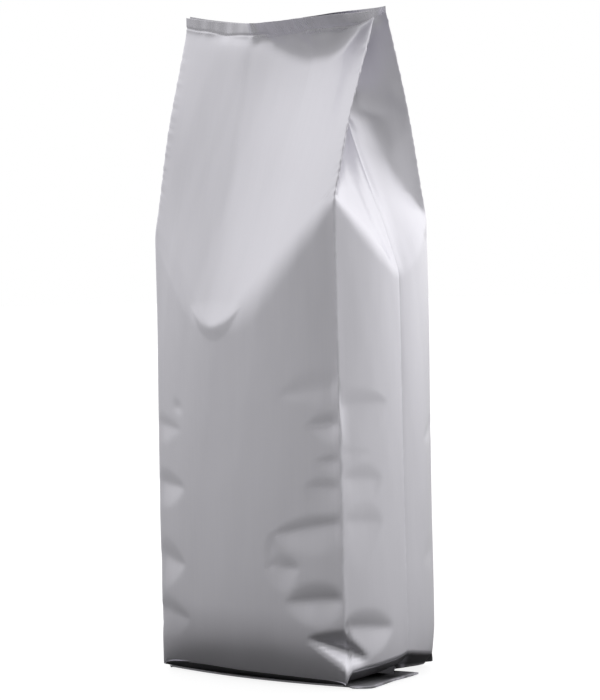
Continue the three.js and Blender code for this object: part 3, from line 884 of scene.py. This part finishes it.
    def buckle_depth(self, around, z):
        """Depth of all buckles: each is a valley that narrows to its ends and fades to its rims."""
        depth = np.zeros_like(z)
        for buckle in BUCKLES:
            run = (np.array(buckle.end) - np.array(buckle.start)) * MM
            reach = np.hypot(*run)
            way = run / reach
            across = self.from_edge(around, buckle.start[0])
            rise = z - buckle.start[1] * MM
            along = (across * way[0] + rise * way[1]) / reach
            beside = (rise * way[0] - across * way[1]) * np.sign(way[0])
            inside = np.clip(along, 0, 1)
            beside = beside + buckle.sag * MM * arch(inside)
            stop = np.clip(1 - (along - 1) * reach / BUCKLE_STOP, 0, 1)
            taper = lerp(arch(inside) ** BUCKLE_TAPER, inside**BUCKLE_GROWTH * stop, buckle.grows)
            upper = beside > 0
            slope = np.where(upper, buckle.over, buckle.under) * MM * np.maximum(taper, BUCKLE_LEAST)
            fade = np.maximum(0, 1 - np.hypot(beside / slope, BUCKLE_VALLEY) + BUCKLE_VALLEY)
            curve = np.where(upper, BUCKLE_OVER_CURVE, BUCKLE_UNDER_CURVE)
            depth += buckle.deep * MM * taper * fade**curve
        return depth

    def notched(self, points):
        """Moves what stands before the facets of the knocked-in corner back onto them."""
        left, right, low, high = (np.array(place) * MM for place in CORNER_NOTCH)
        crease = unit(right - left)
        inwards = unit(np.cross((0, 0, 1), crease))

        def reach(outer):
            facing = unit(np.cross(crease, outer - left))
            return (left - points) @ facing / (inwards @ facing)

        below = reach(low)
        nearer = below - soft_ramp(below - reach(high), NOTCH_SOFT)
        return points + inwards * np.maximum(0, nearer)[..., None]

    def off_edges(self, around):
        """Distance from the nearest of the bag's four upright edges."""
        edges = np.array([0, self.panel, self.panel + self.gusset, self.girth - self.gusset, self.girth])
        return np.abs(around[..., None] - edges).min(axis=-1)

    def off_creases(self, around):
        """Distance from the nearer of the gussets' two upright creases."""
        creases = np.array([self.panel + self.gusset / 2, self.girth - self.gusset / 2])
        return np.abs(around[..., None] - creases).min(axis=-1)

    def held(self, around, z):
        """How much of a buckle's depth shows: less on a stiff upright edge, but all of it low down."""
        stiff = bell(self.off_edges(around) / EDGE_HOLD_REACH)
        return 1 - EDGE_HOLD * stiff * smooth(z, *EDGE_HOLD_Z)

    def fold_lines(self, around, rows):
        """Where the film is worn along its folds: 1 on an edge, less on a gusset crease, else 0."""
        crease_wear = CREASE_WEAR * bell(self.off_creases(around) / WEAR_WIDE)
        lines = np.maximum(bell(self.off_edges(around) / WEAR_WIDE), crease_wear)
        return np.broadcast_to(lines, rows.shape[:2])

    def painted_under_shade(self, around, rows):
        """How much painted shade each place gets for lying under the bag: 0 up to the bottom bend, and 1
        past it on a panel, but past its start on a gusset, which is drawn in, and deeper on the flat
        underside. A lip stands clear of it."""
        turn = np.arange(1, BEND_ROWS + 1)[:, None] / BEND_ROWS
        gusset = self.foot_flat(around) > 0
        bend = np.where(gusset, smooth(turn, 0, UNDER_SHADE_SOFT), smooth(turn, *UNDER_SHADE_PANEL))
        bend = bend * (1 - self.foot_lip(around) / FOOT_LIP * smooth(turn, *FOOT_LIP_TURN))
        under_shade_share = np.full(rows.shape[:2], UNDER_SHADE_DEEP)
        under_shade_share[:-BEND_ROWS - UNDER_ROWS] = 0
        under_shade_share[-BEND_ROWS - UNDER_ROWS:-UNDER_ROWS] = bend
        return under_shade_share

    def unevenness(self, around, z):
        """Depth of the film's slight waves, the dimple in the front panel and the crumpled edges."""
        depth = np.zeros_like(z)
        for wave in WAVES:
            turn = 2 * np.pi * wave.count * around / self.girth + wave.phase
            depth += wave.deep * MM * np.sin(turn) * np.cos(2 * np.pi * z / (wave.up * MM) + 2 * wave.phase)
        away = np.hypot(self.from_edge(around, DIMPLE[0]), z - DIMPLE[1] * MM) / DIMPLE_RADIUS
        depth += DIMPLE_DEEP * bell(away)
        turns = (2 * np.pi * z / step + EDGE_CRUMPLE_SHIFT * step for step in EDGE_CRUMPLE_STEPS)
        crumple = sum(np.sin(turn) for turn in turns)
        near = bell(self.off_edges(around) / EDGE_CRUMPLE_REACH)
        return depth + EDGE_CRUMPLE * crumple * near * smooth(z, *EDGE_CRUMPLE_Z)

    def toe(self, around, z):
        """How far the panels are drawn in towards their foot, most in a dent at the left of the front."""
        beside = self.from_edge(around, TOE_DENT) / TOE_DENT_WIDE
        drawn = FOOT_TOE * self.on_faces(around, arch) ** FOOT_TOE_CURVE + TOE_DENT_DEEP * bell(beside)
        return drawn * np.clip(1 - z / FOOT_TOE_Z, 0, 1) ** 2

    def lip(self, around, walls):
        """How far the panels puff out just below the seal."""
        past = np.maximum(0, walls[0, :, 2] - walls[:, :, 2]) / SEAL_LIP_REACH
        return SEAL_LIP * np.sqrt(self.on_faces(around, arch)) * past * np.exp(1 - past) * (past > 0)

    def pinch(self, around):
        """How far the film stands out along the bag's edges, or in along its gusset creases."""
        groove = CREASE_GROOVE * bell(self.off_creases(around) / CREASE_GROOVE_WIDE)
        return EDGE_PINCH * np.maximum(0, 1 - self.off_edges(around) / EDGE_PINCH_REACH) ** 2 - groove

    def bottom(self, around, wall, turn, inwards):
        """The bend from the wall (turn 0) to the underside (turn 1), then the flat run inwards."""
        angle = turn * math.pi / 2
        bend = self.foot_round(around)
        flat = self.foot_flat(around)
        inset = bend * lerp(1 - math.cos(angle), turn, flat) + UNDERSIDE_INSET * inwards
        reach = np.hypot(wall[:, 0], wall[:, 1])
        scale = (reach - inset) / reach
        low = UNDERSIDE_Z + self.foot_lift(around) * (1 - inwards) ** 2
        z = low + bend * lerp(1 - math.sin(angle), 1 - turn, flat)
        z = z - self.foot_lip(around) * smooth(turn, *FOOT_LIP_TURN) * (1 - inwards) ** 2
        return np.stack([wall[:, 0] * scale, wall[:, 1] * scale, z], axis=-1)

    def columns(self):
        """Places of the columns: evenly spread, and closer at the folded edges."""
        panel, gusset = self.panel, self.gusset
        folds = np.array([0, panel, panel + gusset / 2, panel + gusset, 2 * panel + gusset,
                          2 * panel + 1.5 * gusset, self.girth])
        places = list(folds)
        for start, end in zip(folds[:-1], folds[1:]):
            count = round((end - start) / COLUMN_WIDTH)
            even = np.linspace(start, end, count + 1)
            clear = max(EDGE_COLUMNS) + COLUMN_CLEAR
            places += [place for place in even if start + clear < place < end - clear]
            places += [start + step for step in EDGE_COLUMNS if step > 0]
            places += [end + step for step in EDGE_COLUMNS if step < 0]
        return np.array(sorted(places))

    def rows(self, around):
        """All rows of the folded film from the top edge to the underside, as one array."""
        rows = [self.rounded(self.seal, around, i / SEAL_ROWS) for i in range(SEAL_ROWS + 1)]
        head = [-((1 - i / HEAD_ROWS) ** HEAD_SPACING) for i in range(1, HEAD_ROWS)]
        body = [(i / BODY_ROWS) ** BODY_SPACING for i in range(BODY_ROWS + 1)]
        walls = [self.rounded(self.wall, around, share) for share in head + body]
        walls += [self.bottom(around, walls[-1], i / BEND_ROWS, 0) for i in range(1, BEND_ROWS + 1)]
        under = [self.bottom(around, walls[-1 - BEND_ROWS], 1, i / UNDER_ROWS)
                 for i in range(1, UNDER_ROWS + 1)]
        walls = np.stack(walls)
        places, heights = np.broadcast_to(around, walls.shape[:2]), walls[:, :, 2]
        calm = np.clip((1 + np.array(head + body + [1] * BEND_ROWS)) / SEAL_CALM, 0, 1)[:, None]
        still = np.linspace(1, 0, BEND_ROWS + 1)[1:]
        firm = np.concatenate([np.ones(len(head + body)), still])[:, None]
        depth = self.buckle_depth(places, heights) * self.held(places, heights)
        depth += calm * (self.unevenness(places, heights) - self.pinch(around))
        depth = (depth - self.lip(around, walls)) * firm + self.toe(around, heights)
        walls = walls - self.outward(walls) * depth[:, :, None]
        walls = self.notched(walls)
        rows += list(walls) + under
        rows = self.pressed(np.stack(rows))
        rows[:, :, 1] += self.settle_y
        return rows

    def outward(self, rows):
        """The film's outward direction at each place, from its neighbours."""
        ring = rows[:, :-1]
        across = np.roll(ring, -1, axis=1) - np.roll(ring, 1, axis=1)
        down = np.gradient(ring, axis=0)
        normals = unit(np.cross(down, across))
        return np.concatenate([normals, normals[:, :1]], axis=1)


def new_object(name, shape, material):
    """An object made of a bmesh, in one material."""
    mesh = bpy.data.meshes.new(name)
    shape.to_mesh(mesh)
    shape.free()
    mesh.materials.append(material)
    made = bpy.data.objects.new(name, mesh)
    bpy.context.scene.collection.objects.link(made)
    return made


def add_piece(name, shape, material):
    """Sets a piece made of a bmesh on the bag's body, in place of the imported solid."""
    piece = new_object(name, shape, material)
    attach(piece, BODY)
    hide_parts(NODE)


def set_smooth(shape, sharp):
    """Shades all faces smooth, but for a break along the sharp edges."""
    for face in shape.faces:
        face.smooth = True
    for edge in sharp:
        edge.smooth = False


def new_group(name, inputs, outputs):
    """A shader node group with the given sockets, and its input and output nodes."""
    group = bpy.data.node_groups.new(name, "ShaderNodeTree")
    for side, sockets in (("INPUT", inputs), ("OUTPUT", outputs)):
        for socket, kind in sockets.items():
            group.interface.new_socket(socket, in_out=side, socket_type=kind)
    return group, group.nodes.new("NodeGroupInput"), group.nodes.new("NodeGroupOutput")


def feed(tree, value, socket):
    """Links a socket into another one, or sets a plain value on it."""
    if isinstance(value, bpy.types.NodeSocket):
        tree.links.new(value, socket)
    else:
        socket.default_value = value


def maths(tree, operation, *values):
    """A maths node of one or more values."""
    node = tree.nodes.new("ShaderNodeMath")
    node.operation = operation
    for value, socket in zip(values, node.inputs):
        feed(tree, value, socket)
    return node.outputs["Value"]


def added(tree, start, *terms):
    """A value with others added to it, each given with how strongly it counts."""
    for value, strength in terms:
        start = maths(tree, "MULTIPLY_ADD", value, strength, start)
    return start


def vector_maths(tree, operation, *values):
    """A vector maths node of one or more values."""
    node = tree.nodes.new("ShaderNodeVectorMath")
    node.operation = operation
    for value, socket in zip(values, node.inputs):
        feed(tree, value, socket)
    return node


def noise(tree, place, scale, detail):
    """Noise on a place that is stretched by the scale along each axis, from 0 to 1."""
    stretched = vector_maths(tree, "MULTIPLY", place, scale)
    texture = tree.nodes.new("ShaderNodeTexNoise")
    texture.inputs["Scale"].default_value = 1
    texture.inputs["Detail"].default_value = detail
    tree.links.new(stretched.outputs["Vector"], texture.inputs["Vector"])
    return texture.outputs["Fac"]


def graded(tree, value, span, low, high, style="SMOOTHSTEP"):
    """A node that goes from low to high, each a number or a socket, as value passes the span."""
    grade = tree.nodes.new("ShaderNodeMapRange")
    grade.interpolation_type = style
    grade.inputs["From Min"].default_value, grade.inputs["From Max"].default_value = span
    feed(tree, value, grade.inputs["Value"])
    feed(tree, low, grade.inputs["To Min"])
    feed(tree, high, grade.inputs["To Max"])
    return grade.outputs["Result"]


def film_grain_group():
    """Streaks along the film, cloudy patches and a fine satin grain, each about 0."""
    found = bpy.data.node_groups.get("film_grain")
    if found:
        return found
    inputs = {"Place": "NodeSocketVector"}
    outputs = {"Streak": "NodeSocketFloat", "Cloud": "NodeSocketFloat", "Grain": "NodeSocketFloat"}
    group, entry, leave = new_group("film_grain", inputs, outputs)
    place = entry.outputs["Place"]
    for name, scale, detail in (
        ("Streak", STREAK_SCALE, NOISE_DETAIL),
        ("Cloud", CLOUD_SCALE, NOISE_DETAIL),
        ("Grain", GRAIN_SCALE, GRAIN_DETAIL),
    ):
        centred = maths(group, "SUBTRACT", noise(group, place, scale, detail), 0.5)
        group.links.new(centred, leave.inputs[name])
    return group


def fold_wear_group():
    """Wear along folds, broken up by noise."""
    found = bpy.data.node_groups.get("fold_wear")
    if found:
        return found
    inputs = {"Place": "NodeSocketVector", "Fold": "NodeSocketFloat"}
    group, entry, leave = new_group("fold_wear", inputs, {"Wear": "NodeSocketFloat"})
    patches = noise(group, entry.outputs["Place"], WEAR_SCALE, NOISE_DETAIL)
    broken = graded(group, patches, WEAR_BREAK, WEAR_LEAST, 1)
    group.links.new(maths(group, "MULTIPLY", entry.outputs["Fold"], broken), leave.inputs["Wear"])
    return group


def place_group(tree, group, **values):
    """A group node in a material, with its inputs fed by name."""
    node = tree.nodes.new("ShaderNodeGroup")
    node.node_tree = group
    for name, value in values.items():
        feed(tree, value, node.inputs[name])
    return node.outputs


def attribute(tree, name):
    """A value that is stored on the mesh."""
    node = tree.nodes.new("ShaderNodeAttribute")
    node.attribute_name = name
    return node.outputs["Fac"]


def foil_material(name, finish, look, place_socket):
    """Satin silver foil, whose grain follows the film's UV map or the object's coordinates."""
    material = bpy.data.materials.get(name)
    if material:
        return material
    material = bpy.data.materials.new(name)
    material.use_nodes = True
    tree = material.node_tree
    shader = tree.nodes["Principled BSDF"]
    shader.inputs["Metallic"].default_value = finish.metallic
    place = tree.nodes.new("ShaderNodeTexCoord").outputs[place_socket]
    grain = place_group(tree, film_grain_group(), Place=place)
    wear = place_group(tree, fold_wear_group(), Place=place, Fold=attribute(tree, "fold"))["Wear"]
    seal = attribute(tree, "seal")
    pressed = maths(tree, "MULTIPLY", seal, noise(tree, place, PRESS_SCALE, NOISE_DETAIL))

    tone = added(tree, look.tone, (grain["Streak"], look.streak_tone), (grain["Cloud"], look.cloud_tone))
    # Painted shade: the tone is darkened by the mesh's under attribute, under the bag and on the flap and
    # tucks
    shade_factor = added(tree, 1, (attribute(tree, "under"), -UNDER_PAINTED_SHADE))
    tone = maths(tree, "MULTIPLY", tone, shade_factor)
    tone = added(tree, tone, (wear, look.wear_tone), (pressed, -PRESS_TONE))
    colour = vector_maths(tree, "SCALE", finish.colour)
    tree.links.new(tone, colour.inputs["Scale"])
    tree.links.new(colour.outputs["Vector"], shader.inputs["Base Color"])

    rough = added(
        tree, finish.roughness + look.rougher,
        (grain["Streak"], look.streak_rough), (grain["Cloud"], look.cloud_rough),
        (wear, look.wear_rough), (seal, -SEAL_SMOOTHER),
    )
    tree.links.new(rough, shader.inputs["Roughness"])

    height = added(tree, grain["Grain"], (pressed, PRESS_HEIGHT))
    bump = tree.nodes.new("ShaderNodeBump")
    bump.inputs["Strength"].default_value = look.grain_bump
    bump.inputs["Distance"].default_value = GRAIN_HEIGHT
    tree.links.new(height, bump.inputs["Height"])
    tree.links.new(bump.outputs["Normal"], shader.inputs["Normal"])
    return material


def scuffed_shaded_foil(finish):
    """The foil of the doubled film under the bag: rougher and patchier from scuffing, and lower in tone as
    painted shade.
    """
    return foil_material("scuffed_shaded_foil", finish, SCUFFED_SHADED_LOOK, "Object")


class FOILBAG_OT_make_film(Operator):
    """Fold the film of the bag"""

    bl_idname = "foilbag.make_film"
    bl_label = "Make Film"

    def execute(self, context):
        settings = context.scene.foil_bag
        film = BagFilm(settings.film)
        around = film.columns()
        points = film.rows(around)
        folds = film.fold_lines(around, points)
        under_shade_share = film.painted_under_shade(around, points)
        down = np.cumsum(np.r_[0, length(np.diff(points, axis=0)).mean(axis=1)])
        last_row, last_column = points.shape[0] - 1, points.shape[1] - 1

        def cell(vert):
            return round((0.5 - vert.co.y) * last_row), round((vert.co.x + 0.5) * last_column)

        shape = bmesh.new()
        bmesh.ops.create_grid(shape, x_segments=last_column, y_segments=last_row, size=0.5)
        flat = shape.loops.layers.uv.new("film")
        fold = shape.verts.layers.float.new("fold")
        seal = shape.verts.layers.float.new("seal")
        # The under layer holds painted shade for the bottom bend and the underside
        under = shape.verts.layers.float.new("under")
        for face in shape.faces:
            for loop in face.loops:
                row, column = cell(loop.vert)
                loop[flat].uv = around[column], -down[row]
        for vert in shape.verts:
            row, column = cell(vert)
            vert.co = points[row, column]
            vert[fold] = folds[row, column]
            vert[seal] = 1 if row <= SEAL_ROWS else 0
            # Painted shade under the bag
            vert[under] = under_shade_share[row, column]
        bmesh.ops.remove_doubles(shape, verts=shape.verts, dist=FILM_MERGE)
        rims = [edge for edge in shape.edges if edge.is_boundary]
        middle = settings.film.top_low / 2
        top_rim = [edge for edge in rims if edge.verts[0].co.z > middle]
        bottom_rim = [edge for edge in rims if edge.verts[0].co.z < middle]
        for rim, up in ((top_rim, 1), (bottom_rim, -1)):
            bmesh.ops.triangle_fill(shape, edges=rim, use_beauty=True, normal=(0, 0, up))
        bmesh.ops.recalc_face_normals(shape, faces=shape.faces)
        set_smooth(shape, top_rim)
        add_piece("foil_film", shape, foil_material("film_foil", settings.finish, FILM_LOOK, "UV"))
        return {"FINISHED"}


def sheet_bmesh(grid, place, wear, shade):
    """A flat grid, moved, worn and given painted shade by functions of the place across and down it, from 0
    to 1.
    """
    shape = bmesh.new()
    bmesh.ops.create_grid(shape, x_segments=grid[0], y_segments=grid[1], size=0.5)
    fold = shape.verts.layers.float.new("fold")
    under = shape.verts.layers.float.new("under")
    for vert in shape.verts:
        across, down = vert.co.x + 0.5, 0.5 - vert.co.y
        vert.co = place(across, down)
        vert[fold] = wear(across, down)
        # The under layer holds painted shade, kept off the worn rims
        vert[under] = shade(across, down) * (1 - vert[fold])
    return shape


def thicken(shape, thickness):
    """Gives a sheet its thickness, downwards from its upper face."""
    bmesh.ops.recalc_face_normals(shape, faces=shape.faces)
    bmesh.ops.solidify(shape, geom=shape.faces, thickness=thickness)
    bmesh.ops.recalc_face_normals(shape, faces=shape.faces)
    set_smooth(shape, [edge for edge in shape.edges if edge.calc_face_angle(0) > SHARP_ANGLE])


class FOILBAG_OT_make_flap(Operator):
    """Lay the doubled flap under the bag"""

    bl_idname = "foilbag.make_flap"
    bl_label = "Make Flap"

    def execute(self, context):
        settings = context.scene.foil_bag
        settle = BagFilm(settings.film).settle_y

        def rounded_off(share):
            return 1 - (1 - min(1, share)) ** 2

        # Lighter rims of the flap: partly fold wear, partly a painted highlight along the rounded edge
        def wear(across, back):
            side = min(across, 1 - across) * 2 * FLAP_END
            end = (1 - back) * (FLAP_FRONT + FLAP_BACK)
            return bell(min(side, end) / RIM_WIDE)

        def place(across, back):
            left = -lerp(FLAP_FRONT_LEFT, FLAP_END, rounded_off(back / FLAP_CORNER_LEFT))
            right = lerp(FLAP_FRONT_RIGHT, FLAP_END, rounded_off(back / FLAP_CORNER_RIGHT))
            front = -FLAP_FRONT - FLAP_BOW * arch(across)
            turn = FLAP_WAVE_BACK * back + FLAP_WAVE_ACROSS * across
            wave = FLAP_WAVE * math.sin(turn) * across**FLAP_WAVE_GROWTH
            curl = FLAP_CURL * max(0, (across - FLAP_CURL_AT) / (1 - FLAP_CURL_AT)) * back
            return Vector((
                lerp(left, right, across), lerp(front, FLAP_BACK, back) + settle,
                FLAP_THICK + wave + curl - RIM_DROP * wear(across, back),
            ))

        # Painted shade across the flap's middle, under the bag and the tucks
        def shade(across, back):
            return FLAP_SHADE * bell((back - FLAP_SHADE_AT) / FLAP_SHADE_REACH)

        shape = sheet_bmesh(FLAP_GRID, place, wear, shade)
        thicken(shape, FLAP_THICK)
        add_piece("bottom_flap", shape, scuffed_shaded_foil(settings.finish))
        return {"FINISHED"}


class FOILBAG_OT_make_tucks(Operator):
    """Fold the gussets' lower corners down to the flap"""

    bl_idname = "foilbag.make_tucks"
    bl_label = "Make Tucks"

    def execute(self, context):
        settings = context.scene.foil_bag
        settle = Vector((0, BagFilm(settings.film).settle_y, 0))

        def place(across, down):
            top = Vector([np.interp(across, TUCK_TOP_AT, axis) for axis in zip(*TUCK_TOP)])
            return top.lerp(Vector(TUCK_LOW), down) * MM + settle

        # Lighter folded edge of the tuck: partly fold wear, partly a painted highlight
        def wear(across, down):
            return bell((across - TUCK_TOP_AT[2]) / TUCK_EDGE_WIDE)

        shape = sheet_bmesh(TUCK_GRID, place, wear, lambda across, down: TUCK_PAINTED_SHADE)
        bmesh.ops.remove_doubles(shape, verts=shape.verts, dist=TUCK_MERGE)
        thicken(shape, TUCK_THICK)
        other = bmesh.ops.duplicate(shape, geom=shape.verts[:] + shape.edges[:] + shape.faces[:])
        mirrored = [part for part in other["geom"] if isinstance(part, bmesh.types.BMVert)]
        bmesh.ops.scale(shape, vec=(-1, 1, 1), verts=mirrored)
        bmesh.ops.recalc_face_normals(shape, faces=shape.faces)
        add_piece("gusset_tucks", shape, scuffed_shaded_foil(settings.finish))
        return {"FINISHED"}


def add_camera(look):
    """The camera at the photograph's viewing angle."""
    azimuth, elevation, roll = look.azimuth, look.elevation, look.roll
    back = Vector((
        math.sin(azimuth) * math.cos(elevation),
        -math.cos(azimuth) * math.cos(elevation),
        math.sin(elevation),
    ))
    side = Vector((0, 0, 1)).cross(back).normalized()
    up = back.cross(side)
    rolled_side = side * math.cos(roll) + up * math.sin(roll)
    rolled_up = up * math.cos(roll) - side * math.sin(roll)
    lens = bpy.data.cameras.new("camera")
    lens.lens = look.lens
    lens.sensor_width = SENSOR_WIDTH
    lens.clip_end = VIEW_END
    camera = bpy.data.objects.new("camera", lens)
    turn = Matrix((rolled_side, rolled_up, back)).transposed()
    camera.matrix_world = Matrix.Translation(Vector(look.target) + back * look.distance) @ turn.to_4x4()
    bpy.context.scene.collection.objects.link(camera)
    bpy.context.scene.camera = camera


def along_way(tree, place, way):
    """How far a place lies along the given way."""
    return vector_maths(tree, "DOT_PRODUCT", place, Vector(way).normalized()).outputs["Value"]


def shown_to(tree, ray, usual, other, output):
    """Shows one kind of ray another shader than the usual one."""
    path = tree.nodes.new("ShaderNodeLightPath")
    seen = tree.nodes.new("ShaderNodeMixShader")
    tree.links.new(path.outputs[ray], seen.inputs["Fac"])
    tree.links.new(usual, seen.inputs[1])
    tree.links.new(other, seen.inputs[2])
    tree.links.new(seen.outputs["Shader"], output.inputs["Surface"])


def set_studio(look):
    """A studio of broad soft lights round the bag. The camera sees it as white."""
    world = bpy.data.worlds.new("studio")
    bpy.context.scene.world = world
    world.use_nodes = True
    tree = world.node_tree
    tree.nodes.clear()
    place = tree.nodes.new("ShaderNodeTexCoord").outputs["Generated"]
    light = tree.nodes.new("ShaderNodeBackground")
    light.inputs["Strength"].default_value = look.bright
    level = 0
    for soft in SOFT_LIGHTS:
        near = graded(tree, along_way(tree, place, soft.way), (-1, 1), 0, 1, "LINEAR")
        level = added(tree, level, (maths(tree, "POWER", near, SOFT_POWER), soft.level))
    tree.links.new(level, light.inputs["Color"])
    white = tree.nodes.new("ShaderNodeBackground")
    white.inputs["Color"].default_value = WHITE
    output = tree.nodes.new("ShaderNodeOutputWorld")
    shown_to(tree, "Is Camera Ray", light.outputs["Background"], white.outputs["Background"], output)


def floor_material(look):
    """A pale floor. Glossy rays see it instead as a glow with painted shade: dark at the bag's foot and
    lighter further out.
    """
    material = bpy.data.materials.new("floor")
    material.use_nodes = True
    tree = material.node_tree
    shader = tree.nodes["Principled BSDF"]
    shader.inputs["Base Color"].default_value = (*look.floor, 1)
    shader.inputs["Roughness"].default_value = FLOOR_ROUGH
    shader.inputs["Emission Color"].default_value = WHITE
    shader.inputs["Emission Strength"].default_value = FLOOR_GLOW
    place = tree.nodes.new("ShaderNodeTexCoord").outputs["Object"]

    distance = vector_maths(tree, "LENGTH", place).outputs["Value"]
    outwards = vector_maths(tree, "NORMALIZE", place).outputs["Vector"]
    steps = maths(tree, "LOGARITHM", maths(tree, "DIVIDE", distance, FLOOR_NEAR), FLOOR_STEP)

    def levels(values):
        last = len(values) - 1
        ramp = tree.nodes.new("ShaderNodeValToRGB")
        stops = ramp.color_ramp.elements
        tree.links.new(maths(tree, "DIVIDE", steps, last), ramp.inputs["Fac"])
        for index, value in enumerate(values):
            stop = stops[index] if index < len(stops) else stops.new(1)
            stop.position = index / last
            stop.color = (value, value, value, 1)
        return ramp.outputs["Color"]

    towards = along_way(tree, outwards, FLOOR_WAY)
    open_floor = graded(tree, towards, FLOOR_TURN, levels(look.floor_front), levels(look.floor_back))
    # Painted shadow at the bag's foot, seen only in the foil's reflections
    level = graded(tree, distance, FOOT_SHADE_REACH, look.floor_foot, open_floor)
    # A glow that only glossy rays see, in place of the floor
    mirrored = tree.nodes.new("ShaderNodeEmission")
    tree.links.new(level, mirrored.inputs["Color"])
    output = tree.nodes["Material Output"]
    shown_to(tree, "Is Glossy Ray", shader.outputs["BSDF"], mirrored.outputs["Emission"], output)
    return material


def add_floor(look):
    """The round floor that the bag stands on."""
    shape = bmesh.new()
    bmesh.ops.create_circle(shape, cap_ends=True, segments=FLOOR_SIDES, radius=FLOOR_RADIUS)
    floor = new_object("floor", shape, floor_material(look))


class FOILBAG_OT_make_stage(Operator):
    """Set the floor, the light and the camera"""

    bl_idname = "foilbag.make_stage"
    bl_label = "Make Stage"

    def execute(self, context):
        look = context.scene.foil_bag.stage
        add_camera(look)
        set_studio(look)
        add_floor(look)
        context.scene.view_settings.view_transform = "Standard"
        return {"FINISHED"}


class FOILBAG_PT_panel(Panel):
    """Sizes, finish and stage of the foil bag"""

    bl_idname = "FOILBAG_PT_panel"
    bl_label = "Foil Bag"
    bl_space_type = "VIEW_3D"
    bl_region_type = "UI"
    bl_category = "Foil Bag"

    def draw(self, context):
        settings = context.scene.foil_bag
        for group in (settings.film, settings.finish, settings.stage):
            box = self.layout.box()
            for name in group.__annotations__:
                box.prop(group, name)
        for operator in OPERATORS:
            self.layout.operator(operator.bl_idname)


OPERATORS = (
    FOILBAG_OT_make_film,
    FOILBAG_OT_make_flap,
    FOILBAG_OT_make_tucks,
    FOILBAG_OT_make_stage,
)
CLASSES = (FilmSizes, FoilFinish, StageLook, FoilBagSettings, *OPERATORS, FOILBAG_PT_panel)


def register():
    """Adds the classes and the scene's settings to Blender."""
    for made in CLASSES:
        bpy.utils.register_class(made)
    bpy.types.Scene.foil_bag = PointerProperty(type=FoilBagSettings)


def unregister():
    """Takes them out again."""
    del bpy.types.Scene.foil_bag
    for made in reversed(CLASSES):
        bpy.utils.unregister_class(made)


def main():
    """Makes all pieces and the stage."""
    register()
    bpy.ops.foilbag.make_film()
    bpy.ops.foilbag.make_flap()
    bpy.ops.foilbag.make_tucks()
    bpy.ops.foilbag.make_stage()


if __name__ == "__main__":
    main()
